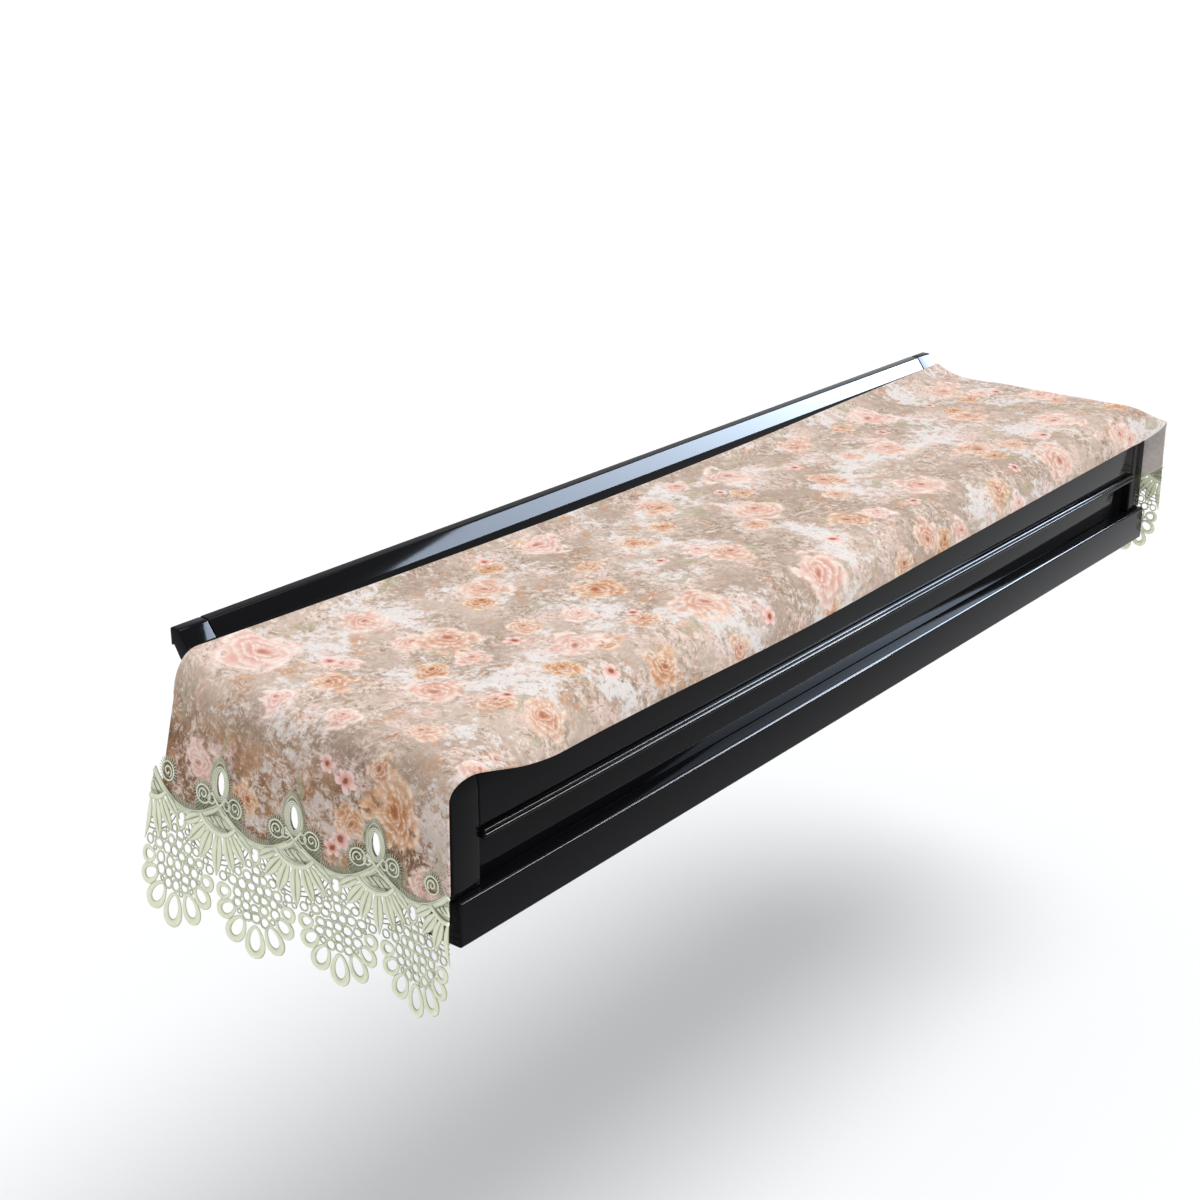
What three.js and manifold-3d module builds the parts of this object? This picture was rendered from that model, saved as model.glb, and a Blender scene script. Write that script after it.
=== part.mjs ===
// Piano keyboard cover: one long printed cloth with a wide lace border at each end,
// draped over a plain keyboard case. Millimetres, +Z up, the player's side at -Y.
// The origin is the middle of the case's flat back face.

import * as THREE from 'three';
import { mergeVertices } from 'three/addons/utils/BufferGeometryUtils.js';
import Module from 'manifold-3d';

const wasm = await Module();
wasm.setup();

// Keyboard case
const CASE_WIDTH = 1480;
const CASE_DEPTH = 372;
const BACK_FACE_HEIGHT = 36;
const LID_TOP_Z = -14;
const CASE_FOOT_Z = -204;
const BOARD = 20;
const PIECE_GAP = 0.3;
const NOSE_RADIUS = 46;
const COVE_RADIUS = 128;
const COVE_DEPTH = 62;
const HINGE_LEDGE_DEPTH = 13;
const HINGE_SLOPE_DEPTH = 12;
const CHEEK_WIDTH = 38;
const BEAD_HEIGHT = 11;
const BEAD_DEPTH = 5;
const BEAD_TOP_Z = -98;
const SLIP_RECESS = 10;
const RAIL_HEIGHT = 47;
const RAIL_DEPTH = 46;
const RAIL_PROUD = 8;
const EDGE_BEVEL = 3;
const CURVE_SEGMENTS = 8;

// Cloth
const CLOTH_WIDTH = 380;
const CLOTH_THICKNESS = 1.6;
const FLAT_CLEARANCE = 0.5;
const EDGE_CLEARANCE = 2.1;
const RIPPLE_HEIGHT = 2.2;
const RIPPLE_LENGTH = 173;
const RIPPLE_SLANT = { along: 0.7, across: 0.4 };
const SHOULDER_START = 732;
const SHOULDER_TURN = 60;
const SHOULDER_DROP = 32;
const SHOULDER_EASE = 70;
const SETTLE_POWER = 0.7;
const HANG_LENGTH = 240;
const HANG_NARROWING = 0.03;
const UNROLL_LENGTH = { left: 190, right: 60 };
const COVE_UNROLL_START = 14;

// Rows across the cloth, from its back edge to its front edge: the bend over the case's end
// and how far the hanging end swings out at its foot
const HANGING_ENDS = {
  left: [
    { across: 0, bend: 28, flare: 66 },
    { across: 90, bend: 34, flare: 37 },
    { across: 190, bend: 36, flare: 8 },
    { across: 290, bend: 26, flare: 3 },
    { across: 380, bend: 33, flare: 4 },
  ],
  right: [
    { across: 0, bend: 24, flare: 6 },
    { across: 90, bend: 28, flare: 6 },
    { across: 190, bend: 31, flare: 6 },
    { across: 290, bend: 23, flare: 6 },
    { across: 380, bend: 26, flare: 6 },
  ],
};

// Rows along the front edge: how far the hem hangs lower or higher than its mean line
const FRONT_EDGE = [
  { along: -740, drop: -1 },
  { along: -460, drop: 0 },
  { along: -170, drop: 5 },
  { along: 160, drop: -1 },
  { along: 440, drop: -5 },
  { along: 740, drop: -9 },
];

// Rows along the back edge: how far the hem is drawn in down the cove
const BACK_EDGE = [
  { along: -740, draw: 3 },
  { along: -460, draw: 10 },
  { along: -120, draw: 15 },
  { along: 200, draw: 13 },
  { along: 480, draw: 6 },
  { along: 740, draw: 1 },
];

// Stops of the sheet's grid: across the cloth, along its corners, and down its hanging ends
const COVE_STOPS = [0, 16, 32, 47];
const FLAT_STOPS = [62, 122, 182, 242];
const NOSE_STOPS = [301, 317, 333, 349, 365, 380];
const CORNER_STOPS = [-190, -150, -110, -70, -32];
const MIDDLE_STEPS = 10;
const BEND_STOPS = [0, 12, 24, 36, 48, 60];
const HANG_STOPS = [66, 90, 140, 190];
const LACE_HANG_STOPS = [...HANG_STOPS, 245, 302];
const NORMAL_STEP = 0.5;

// Lace border: a repeat is measured across from the eyelet's axis and down from the band's cusp
const LACE_THICKNESS = 1.6;
const LACE_GAP = 0.35;
const LACE_START = -14;
const REPEAT = 98.5;
const REPEATS = 4;
const SWAG_SAG = 21;
const LACE_HEIGHTS = {
  left: { cuspZ: -138, footLift: 14 },
  right: { cuspZ: -98, footLift: 4 },
};
const FOOT_LOW_ACROSS = 250;
const FOOT_LIFT_SPAN = 210;
const MIN_RIM = 2;
const EYELET = { down: -23, halfWidth: 4.8, halfHeight: 12, sides: 8 };
const SIDE_EYELET = { across: 10.5, down: -5, halfWidth: 3, halfHeight: 3.4, sides: 6 };
const DROP_HOLE = { down: 31, halfWidth: 4.4, halfHeight: 7, sides: 6 };
const CLOTH_CUT_MARGIN = 1;
const FAN = { down: 13, inner: 34, innerHalfWidth: 1.3, outerHalfWidth: 3.3, edge: 5 };
const FAN_PETALS = [
  { angle: -68, reach: 50 },
  { angle: -47, reach: 51 },
  { angle: -24, reach: 53 },
  { angle: 0, reach: 57 },
  { angle: 24, reach: 53 },
  { angle: 47, reach: 51 },
  { angle: 68, reach: 50 },
];
const NET_PITCH = 11;
const NET_HOLE = { radius: 3.7, sides: 5 };
const NET_ROWS = [
  { down: 47, count: 1 },
  { down: 57, count: 2 },
  { down: 67, count: 3 },
  { down: 77, count: 5 },
  { down: 87.5, count: 5 },
  { down: 98, count: 3 },
];
const SCALLOP = { down: 70, valley: 5, toeRound: 1, notch: 1 };
const LOOPS = [
  { angle: -74, reach: 39, halfLength: 4.6, halfWidth: 4.2, toe: 5 },
  { angle: -51, reach: 42, halfLength: 7.2, halfWidth: 4.6, toe: 5.5 },
  { angle: -26, reach: 47, halfLength: 10, halfWidth: 5, toe: 6.5 },
  { angle: 0, reach: 50, halfLength: 11.5, halfWidth: 5, toe: 7 },
  { angle: 26, reach: 47, halfLength: 10, halfWidth: 5, toe: 6.5 },
  { angle: 51, reach: 42, halfLength: 7.2, halfWidth: 4.6, toe: 5.5 },
  { angle: 74, reach: 39, halfLength: 4.6, halfWidth: 4.2, toe: 5 },
];
const LOOP_SIDES = 8;

// Rows from an eyelet's tip to the middle of a repeat along the lace's upper edge
const UPPER_EDGE = [
  { across: 0, down: -43 },
  { across: 8, down: -36 },
  { across: 13, down: -24 },
  { across: 16, down: -19 },
  { across: 24, down: -19 },
  { across: 31, down: -11 },
  { across: 34, down: -2 },
  { across: 42, down: 8 },
  { across: REPEAT / 2, down: 11 },
];
const CORNER_EDGE = [
  { across: 0, down: 12 },
  { across: 3, down: -4 },
];
const CORNER_SKIP = 6;
const TRIM_STEP = REPEAT / 8;
const TRIM_CLEAR = REPEAT / 4;

// Values worked out from the sizes above
const FRONT_Y = -CASE_DEPTH;
const NOSE_START_Y = FRONT_Y + NOSE_RADIUS;
const CLOTH_BACK_Y = -HINGE_LEDGE_DEPTH - HINGE_SLOPE_DEPTH;
const COVE_START_Y = CLOTH_BACK_Y - COVE_DEPTH;
const CLOTH_RISE = EDGE_CLEARANCE + CLOTH_THICKNESS / 2;
const COVE_START_ACROSS = FLAT_STOPS[0];
const NOSE_START_ACROSS = NOSE_STOPS[0];
const CLOTH_NOSE_RADIUS = NOSE_RADIUS + CLOTH_RISE;
const CLOTH_COVE_RADIUS = COVE_RADIUS - CLOTH_RISE;
const SHOULDER_Z = LID_TOP_Z + CLOTH_RISE;
const HANG_TOP_Z = SHOULDER_Z - SHOULDER_DROP;
const ACROSS_STOPS = [...COVE_STOPS, ...FLAT_STOPS, ...NOSE_STOPS];
const LACE_END = LACE_START + REPEATS * REPEAT;

const lerp = THREE.MathUtils.lerp;
const ease = THREE.MathUtils.smoothstep;
const radians = THREE.MathUtils.degToRad;

// A smooth curve through one column of a table
function column(rows, at, value) {
  const places = rows.map((row) => row[at]);
  const values = rows.map((row) => row[value]);
  const curve = new THREE.CubicInterpolant(places, values, 1, new Float32Array(1));
  const first = places[0];
  const last = places[places.length - 1];
  return (place) => curve.evaluate(THREE.MathUtils.clamp(place, first, last))[0];
}

const bendAt = {};
const flareAt = {};
for (const side of ['left', 'right']) {
  bendAt[side] = column(HANGING_ENDS[side], 'across', 'bend');
  flareAt[side] = column(HANGING_ENDS[side], 'across', 'flare');
}
const frontDropAt = column(FRONT_EDGE, 'along', 'drop');
const backDrawAt = column(BACK_EDGE, 'along', 'draw');

// A length of cloth laid round an arc: how far it goes level and how far it turns away
function roll(length, curvature) {
  if (Math.abs(curvature) < 1e-6) {
    return { run: length, turn: 0 };
  }
  const angle = length * curvature;
  return { run: Math.sin(angle) / curvature, turn: (1 - Math.cos(angle)) / curvature };
}

// The cloth's section front to back: up the cove, over the lid and round the nose.
// Towards an end the nose unrolls, and past the case the cove does, until the hanging end is flat.
function crossSection(across, along, past, side) {
  if (across > NOSE_START_ACROSS) {
    const rolled = 1 - ease(past, -UNROLL_LENGTH[side], SHOULDER_TURN);
    const round = across - NOSE_START_ACROSS;
    const share = round / (CLOTH_WIDTH - NOSE_START_ACROSS);
    const nose = roll(round + rolled * share * frontDropAt(along), rolled / CLOTH_NOSE_RADIUS);
    return { y: NOSE_START_Y - nose.run, z: SHOULDER_Z - nose.turn };
  }
  if (across < COVE_START_ACROSS) {
    const rolled = 1 - ease(past, COVE_UNROLL_START, SHOULDER_TURN);
    const round = COVE_START_ACROSS - across;
    const share = round / COVE_START_ACROSS;
    const cove = roll(round - rolled * share * backDrawAt(along), rolled / CLOTH_COVE_RADIUS);
    return { y: COVE_START_Y + cove.run, z: SHOULDER_Z + cove.turn };
  }
  const share = (across - COVE_START_ACROSS) / (NOSE_START_ACROSS - COVE_START_ACROSS);
  return { y: lerp(COVE_START_Y, NOSE_START_Y, share), z: SHOULDER_Z };
}

// The cloth lies close to the lid in its middle, with slow ripples, and lifts towards its edges
function settle(across, past) {
  const middle = ease(-past, 0, SHOULDER_EASE);
  const span = NOSE_START_ACROSS - COVE_START_ACROSS;
  const share = THREE.MathUtils.clamp((across - COVE_START_ACROSS) / span, 0, 1);
  return middle * Math.sin(share * Math.PI) ** SETTLE_POWER;
}

function ripple(along, across) {
  const turn = 2 * Math.PI / RIPPLE_LENGTH;
  const wave = Math.sin((along + RIPPLE_SLANT.across * across) * turn);
  const cross = Math.sin((RIPPLE_SLANT.along * along - across) * turn);
  return RIPPLE_HEIGHT * (2 + wave + cross) / 4;
}

// A hanging end's waves take up a little of its width, measured from its back edge
function narrowedY(y, share) {
  return CLOTH_BACK_Y + (y - CLOTH_BACK_Y) * (1 - HANG_NARROWING * share);
}

// Outward distance of a hanging end at a place across it and a height
function hangingX(side, across, z) {
  const fall = (HANG_TOP_Z - z) / HANG_LENGTH;
  return SHOULDER_START + bendAt[side](across) + flareAt[side](across) * fall;
}

// A point of the cloth's middle surface. Past the shoulder's start, the way along first
// turns down over the case's end and then hangs.
function drape(along, across) {
  const side = along < 0 ? 'left' : 'right';
  const sign = Math.sign(along) || 1;
  const past = Math.abs(along) - SHOULDER_START;
  const { y, z } = crossSection(across, along, past, side);
  if (past <= 0) {
    const lowered = EDGE_CLEARANCE - FLAT_CLEARANCE - ripple(along, across);
    return new THREE.Vector3(along, y, z - lowered * settle(across, past));
  }
  if (past <= SHOULDER_TURN) {
    const turned = (past / SHOULDER_TURN) * Math.PI / 2;
    const bend = bendAt[side](across);
    const drop = lerp(bend, SHOULDER_DROP, past / SHOULDER_TURN);
    const x = SHOULDER_START + bend * Math.sin(turned);
    const turnedY = narrowedY(y, ease(past, 0, SHOULDER_TURN));
    return new THREE.Vector3(sign * x, turnedY, z - drop * (1 - Math.cos(turned)));
  }
  const hangingZ = HANG_TOP_Z - (past - SHOULDER_TURN);
  return new THREE.Vector3(sign * hangingX(side, across, hangingZ), narrowedY(y, 1), hangingZ);
}

// The outward normal of the draped cloth
function drapeNormal(along, across) {
  const lengthwise = drape(along + NORMAL_STEP, across).sub(drape(along - NORMAL_STEP, across));
  const crosswise = drape(along, across - NORMAL_STEP).sub(drape(along, across + NORMAL_STEP));
  return lengthwise.cross(crosswise).normalize();
}

// Closed sheet between two offsets from the draped surface: a subdivided box laid on a grid of stops
function sheetGeometry(alongStops, acrossStops, innerOffset, outerOffset) {
  const columns = alongStops.length - 1;
  const rows = acrossStops.length - 1;
  const box = new THREE.BoxGeometry(columns, rows, 1, columns, rows, 1);
  const position = box.getAttribute('position');
  for (let index = 0; index < position.count; index += 1) {
    const along = alongStops[Math.round(position.getX(index) + columns / 2)];
    const across = acrossStops[Math.round(rows / 2 - position.getY(index))];
    const offset = position.getZ(index) > 0 ? outerOffset : innerOffset;
    const point = drape(along, across).addScaledVector(drapeNormal(along, across), offset);
    position.setXYZ(index, point.x, point.y, point.z);
  }
  return box;
}

// Solids for cutting and joining
function solidOf(geometry) {
  const bare = geometry.index ? geometry.clone() : mergeVertices(geometry);
  bare.deleteAttribute('normal');
  bare.deleteAttribute('uv');
  const merged = mergeVertices(bare, 1e-4);
  return new wasm.Manifold(new wasm.Mesh({
    numProp: 3,
    vertProperties: new Float32Array(merged.getAttribute('position').array),
    triVerts: new Uint32Array(merged.index.array),
  }));
}

function geometryOf(solid) {
  const mesh = solid.getMesh();
  const geometry = new THREE.BufferGeometry();
  geometry.setAttribute('position', new THREE.BufferAttribute(new Float32Array(mesh.vertProperties), 3));
  geometry.setIndex(new THREE.BufferAttribute(new Uint32Array(mesh.triVerts), 1));
  return geometry;
}

// Extrusion of an outline drawn in Y and Z, from one X to another
function extrudeAlongX(shapes, fromX, toX, bevel = 0) {
  const geometry = new THREE.ExtrudeGeometry(shapes, {
    depth: toX - fromX - 2 * bevel,
    bevelEnabled: bevel > 0,
    bevelThickness: bevel,
    bevelSize: bevel,
    bevelOffset: -bevel,
    bevelSegments: 1,
    curveSegments: CURVE_SEGMENTS,
  });
  const yAxis = new THREE.Vector3(0, 1, 0);
  const zAxis = new THREE.Vector3(0, 0, 1);
  const xAxis = new THREE.Vector3(1, 0, 0);
  geometry.applyMatrix4(new THREE.Matrix4().makeBasis(yAxis, zAxis, xAxis));
  geometry.translate(fromX + bevel, 0, 0);
  return geometry;
}

// A place on the lace in Y and Z: the foot of the hanging end rises a little towards its sides
function lacePlace(side, { across, down }) {
  const { cuspZ, footLift } = LACE_HEIGHTS[side];
  const lift = footLift * ((across - FOOT_LOW_ACROSS) / FOOT_LIFT_SPAN) ** 2;
  return new THREE.Vector2(narrowedY(CLOTH_BACK_Y - across, 1), cuspZ + lift - down);
}

function laceShape(side, points) {
  return new THREE.Shape(points.map((point) => lacePlace(side, point)));
}

// An oval in lace terms, its length turned by an angle from straight down
function oval(across, down, halfWidth, halfLength, sides, angle = 0) {
  const points = [];
  for (let index = 0; index < sides; index += 1) {
    const turn = ((index + 0.5) / sides) * 2 * Math.PI;
    const wide = halfWidth * Math.sin(turn);
    const long = halfLength * Math.cos(turn);
    points.push({
      across: across + long * Math.sin(angle) + wide * Math.cos(angle),
      down: down + long * Math.cos(angle) - wide * Math.sin(angle),
    });
  }
  return points;
}

function polar(across, down, angle, radius) {
  return { across: across + radius * Math.sin(angle), down: down + radius * Math.cos(angle) };
}

function swagDown(across) {
  const share = THREE.MathUtils.euclideanModulo(across - LACE_START, REPEAT) / REPEAT;
  return 4 * SWAG_SAG * share * (1 - share);
}

// Eyelets above a cusp: the tall one and the small one on each side of it
function cuspEyelets(axis, grow) {
  const tall = oval(axis, EYELET.down, EYELET.halfWidth + grow, EYELET.halfHeight + grow, EYELET.sides);
  const small = [-1, 1].map((hand) => oval(
    axis + hand * SIDE_EYELET.across,
    SIDE_EYELET.down,
    SIDE_EYELET.halfWidth + grow,
    SIDE_EYELET.halfHeight + grow,
    SIDE_EYELET.sides,
  ));
  return [tall, ...small];
}

// Gaps between the petals of the fan below a cusp
function fanGaps(axis) {
  const gaps = [];
  for (let index = 1; index < FAN_PETALS.length; index += 1) {
    const before = FAN_PETALS[index - 1];
    const after = FAN_PETALS[index];
    const angle = radians((before.angle + after.angle) / 2);
    const outer = (before.reach + after.reach) / 2 - FAN.edge;
    const corner = (radius, halfWidth) => {
      const turn = angle + Math.atan2(halfWidth, radius);
      return polar(axis, FAN.down, turn, radius);
    };
    gaps.push([
      corner(FAN.inner, -FAN.innerHalfWidth),
      corner(FAN.inner, FAN.innerHalfWidth),
      corner(outer, FAN.outerHalfWidth),
      corner(outer, -FAN.outerHalfWidth),
    ]);
  }
  return gaps;
}

// Holes of a scallop: the drop under the swag, the net, and the loops along its edge
function scallopHoles(axis) {
  const holes = [oval(axis, DROP_HOLE.down, DROP_HOLE.halfWidth, DROP_HOLE.halfHeight, DROP_HOLE.sides)];
  for (const row of NET_ROWS) {
    for (let index = 0; index < row.count; index += 1) {
      const across = axis + (index - (row.count - 1) / 2) * NET_PITCH;
      holes.push(oval(across, row.down, NET_HOLE.radius, NET_HOLE.radius, NET_HOLE.sides));
    }
  }
  for (const loop of LOOPS) {
    const angle = radians(loop.angle);
    const centre = polar(axis, SCALLOP.down, angle, loop.reach);
    holes.push(oval(centre.across, centre.down, loop.halfWidth, loop.halfLength, LOOP_SIDES, angle));
  }
  return holes;
}

function insideLace(points) {
  return points.every(({ across }) => across > LACE_START + MIN_RIM && across < LACE_END - MIN_RIM);
}

function laceHoles() {
  const holes = fanGaps(LACE_END);
  for (let repeat = 0; repeat < REPEATS; repeat += 1) {
    const axis = LACE_START + repeat * REPEAT;
    holes.push(...fanGaps(axis), ...scallopHoles(axis + REPEAT / 2));
    if (repeat > 0) {
      holes.push(...cuspEyelets(axis, 0));
    }
  }
  return holes.filter(insideLace);
}

// Lower edge of one scallop: a round toe for each loop, a valley after it and the notch at its end
function scallopEdge(axis) {
  const points = [];
  LOOPS.forEach((loop, index) => {
    const last = index === LOOPS.length - 1;
    const after = last ? { ...loop, angle: 90 } : LOOPS[index + 1];
    const toeReach = (row) => row.reach + row.halfLength + row.toe;
    const quarter = (after.angle - loop.angle) / 4;
    const round = toeReach(loop) - SCALLOP.toeRound;
    const valley = Math.min(toeReach(loop), toeReach(after)) - SCALLOP.valley;
    points.push(polar(axis, SCALLOP.down, radians(loop.angle - quarter), round));
    points.push(polar(axis, SCALLOP.down, radians(loop.angle + quarter), round));
    points.push(polar(axis, SCALLOP.down, radians(loop.angle + 2 * quarter), valley));
  });
  points.push({ across: axis + REPEAT / 2, down: SCALLOP.down + SCALLOP.notch });
  return points;
}

// The whole border's outline: along the upper edge, and back along the scallops
function laceOutline() {
  const upper = [];
  const lower = [{ across: LACE_START, down: SCALLOP.down + SCALLOP.notch }];
  for (let repeat = 0; repeat < REPEATS; repeat += 1) {
    const axis = LACE_START + repeat * REPEAT;
    const cornerRows = [...CORNER_EDGE, ...UPPER_EDGE.slice(CORNER_SKIP)];
    const falling = repeat === 0 ? cornerRows : UPPER_EDGE;
    const rising = repeat === REPEATS - 1 ? cornerRows : UPPER_EDGE.slice(1);
    upper.push(...falling.map(({ across, down }) => ({ across: axis + across, down })));
    upper.push(...rising.slice(0, -1).reverse().map(({ across, down }) => ({
      across: axis + REPEAT - across,
      down,
    })));
    lower.push(...scallopEdge(axis + REPEAT / 2));
  }
  return [...upper, ...lower.reverse()];
}

// X range that takes in a hanging end
function endRange(side) {
  const near = SHOULDER_START;
  const far = SHOULDER_START + HANG_LENGTH;
  return side === 'left' ? [-far, -near] : [near, far];
}

// What the maker trims off the cloth behind the lace: all below the swags, and the eyelets
function clothTrim(side) {
  const from = LACE_START - TRIM_CLEAR;
  const to = LACE_END + TRIM_CLEAR;
  const edge = [];
  for (let across = from; across <= to; across += TRIM_STEP) {
    edge.push({ across, down: swagDown(across) });
  }
  edge.push({ across: to, down: HANG_LENGTH }, { across: from, down: HANG_LENGTH });
  const outlines = [edge];
  for (let repeat = 1; repeat < REPEATS; repeat += 1) {
    const axis = LACE_START + repeat * REPEAT;
    outlines.push(...cuspEyelets(axis, CLOTH_CUT_MARGIN));
  }
  return outlines.map((points) => laceShape(side, points));
}

function clothAlongStops() {
  const end = (stops) => stops.map((stop) => SHOULDER_START + stop);
  const half = end([...CORNER_STOPS, ...BEND_STOPS, ...HANG_STOPS]);
  const corner = { left: SHOULDER_START - UNROLL_LENGTH.left, right: SHOULDER_START + CORNER_STOPS[0] };
  const middle = [];
  for (let step = 1; step < MIDDLE_STEPS; step += 1) {
    middle.push(lerp(-corner.left, corner.right, step / MIDDLE_STEPS));
  }
  return [...half.map((stop) => -stop).reverse(), ...middle, ...half];
}

function clothGeometry() {
  const half = CLOTH_THICKNESS / 2;
  let cloth = solidOf(sheetGeometry(clothAlongStops(), ACROSS_STOPS, -half, half));
  for (const side of ['left', 'right']) {
    cloth = cloth.subtract(solidOf(extrudeAlongX(clothTrim(side), ...endRange(side))));
  }
  return geometryOf(cloth);
}

function laceGeometry(side) {
  const sign = side === 'left' ? -1 : 1;
  const stops = LACE_HANG_STOPS.map((stop) => sign * (SHOULDER_START + stop));
  const across = [2 * LACE_START, ...ACROSS_STOPS, LACE_END - LACE_START];
  const inner = CLOTH_THICKNESS / 2 + LACE_GAP;
  const sorted = stops.sort((one, other) => one - other);
  const sheet = solidOf(sheetGeometry(sorted, across, inner, inner + LACE_THICKNESS));
  const pattern = laceShape(side, laceOutline());
  pattern.holes = laceHoles().map((points) => laceShape(side, points));
  return geometryOf(sheet.intersect(solidOf(extrudeAlongX(pattern, ...endRange(side)))));
}

// Outer line of the case from the hinge ledge over the cove, the lid and the nose to the front
function caseTop(shape) {
  const ledgeZ = BACK_FACE_HEIGHT / 2;
  const coveAngle = Math.asin(COVE_DEPTH / COVE_RADIUS);
  const coveTopZ = LID_TOP_Z + COVE_RADIUS * (1 - Math.cos(coveAngle));
  shape.moveTo(0, ledgeZ);
  shape.lineTo(-HINGE_LEDGE_DEPTH, ledgeZ);
  shape.lineTo(CLOTH_BACK_Y, coveTopZ);
  const coveCentreZ = LID_TOP_Z + COVE_RADIUS;
  shape.absarc(COVE_START_Y, coveCentreZ, COVE_RADIUS, coveAngle - Math.PI / 2, -Math.PI / 2, true);
  const noseCentreZ = LID_TOP_Z - NOSE_RADIUS;
  shape.absarc(NOSE_START_Y, noseCentreZ, NOSE_RADIUS, Math.PI / 2, Math.PI, false);
}

// Inner line of the case, one board below the outer one, from the front back to the hinge face
function caseUnderside(shape, footZ) {
  const innerY = FRONT_Y + BOARD;
  const underZ = LID_TOP_Z - BOARD;
  const innerRadius = NOSE_RADIUS - BOARD;
  shape.lineTo(FRONT_Y, footZ);
  shape.lineTo(innerY, footZ);
  shape.absarc(NOSE_START_Y, LID_TOP_Z - NOSE_RADIUS, innerRadius, Math.PI, Math.PI / 2, true);
  shape.lineTo(COVE_START_Y, underZ);
  shape.lineTo(-HINGE_LEDGE_DEPTH, -BACK_FACE_HEIGHT / 2);
  shape.lineTo(0, -BACK_FACE_HEIGHT / 2);
  shape.closePath();
}

function lidGeometry() {
  const profile = new THREE.Shape();
  caseTop(profile);
  caseUnderside(profile, BEAD_TOP_Z);
  const halfWidth = CASE_WIDTH / 2 - CHEEK_WIDTH - PIECE_GAP;
  return extrudeAlongX(profile, -halfWidth, halfWidth, EDGE_BEVEL / 2);
}

function cheekGeometry(side) {
  const profile = new THREE.Shape();
  caseTop(profile);
  caseUnderside(profile, CASE_FOOT_Z + RAIL_HEIGHT + PIECE_GAP);
  const outer = CASE_WIDTH / 2;
  const inner = outer - CHEEK_WIDTH;
  const range = side === 'left' ? [-outer, -inner] : [inner, outer];
  return extrudeAlongX(profile, ...range, EDGE_BEVEL);
}

// Bead under the lid's front leaf, with a rounded front
function beadGeometry() {
  const top = BEAD_TOP_Z - PIECE_GAP;
  const foot = top - BEAD_HEIGHT;
  const round = BEAD_HEIGHT / 2;
  const profile = new THREE.Shape();
  profile.moveTo(FRONT_Y + BOARD, top);
  profile.lineTo(FRONT_Y - BEAD_DEPTH + round, top);
  profile.absarc(FRONT_Y - BEAD_DEPTH + round, top - round, round, Math.PI / 2, 1.5 * Math.PI, false);
  profile.lineTo(FRONT_Y + BOARD, foot);
  profile.closePath();
  const halfWidth = CASE_WIDTH / 2 - CHEEK_WIDTH - PIECE_GAP;
  return extrudeAlongX(profile, -halfWidth, halfWidth);
}

// Key slip, set back between the bead and the rail
function slipGeometry() {
  const top = BEAD_TOP_Z - BEAD_HEIGHT - 2 * PIECE_GAP;
  const foot = CASE_FOOT_Z + RAIL_HEIGHT + PIECE_GAP;
  const width = CASE_WIDTH - 2 * (CHEEK_WIDTH + PIECE_GAP);
  const box = new THREE.BoxGeometry(width, BOARD, top - foot);
  return box.translate(0, FRONT_Y + SLIP_RECESS + BOARD / 2, (top + foot) / 2);
}

// Front rail of the key bed, its upper front edge rounded
function railGeometry() {
  const front = FRONT_Y - RAIL_PROUD;
  const top = CASE_FOOT_Z + RAIL_HEIGHT;
  const profile = new THREE.Shape();
  profile.moveTo(front + RAIL_DEPTH, top);
  profile.lineTo(front + EDGE_BEVEL, top);
  profile.absarc(front + EDGE_BEVEL, top - EDGE_BEVEL, EDGE_BEVEL, Math.PI / 2, Math.PI, false);
  profile.lineTo(front, CASE_FOOT_Z);
  profile.lineTo(front + RAIL_DEPTH, CASE_FOOT_Z);
  profile.closePath();
  return extrudeAlongX(profile, -CASE_WIDTH / 2, CASE_WIDTH / 2, EDGE_BEVEL / 2);
}

// Finishes
const FINISHES = {
  printedCloth: { color: 0xc4a793, roughness: 0.85, metalness: 0 },
  laceThread: { color: 0xb9c4a0, roughness: 0.8, metalness: 0 },
  blackLacquer: { color: 0x101114, roughness: 0.12, metalness: 0 },
};

function piece(name, geometry, finish) {
  const mesh = new THREE.Mesh(geometry, new THREE.MeshStandardMaterial(FINISHES[finish]));
  mesh.name = name;
  return mesh;
}

const cover = new THREE.Group();
cover.add(piece('cover_cloth', clothGeometry(), 'printedCloth'));
cover.add(piece('lace_left', laceGeometry('left'), 'laceThread'));
cover.add(piece('lace_right', laceGeometry('right'), 'laceThread'));

const keyboardCase = new THREE.Group();
keyboardCase.add(piece('key_lid', lidGeometry(), 'blackLacquer'));
keyboardCase.add(piece('cheek_left', cheekGeometry('left'), 'blackLacquer'));
keyboardCase.add(piece('cheek_right', cheekGeometry('right'), 'blackLacquer'));
keyboardCase.add(piece('lid_bead', beadGeometry(), 'blackLacquer'));
keyboardCase.add(piece('key_slip', slipGeometry(), 'blackLacquer'));
keyboardCase.add(piece('bed_rail', railGeometry(), 'blackLacquer'));

const part = new THREE.Group();
part.add(cover, keyboardCase);

export default part;
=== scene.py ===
"""Looks of a piano keyboard cover: a printed cloth with lace ends on a black keyboard case.

Sizes are in millimetres, as a maker gives them, and MM turns them into metres.
"""

import math

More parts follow.
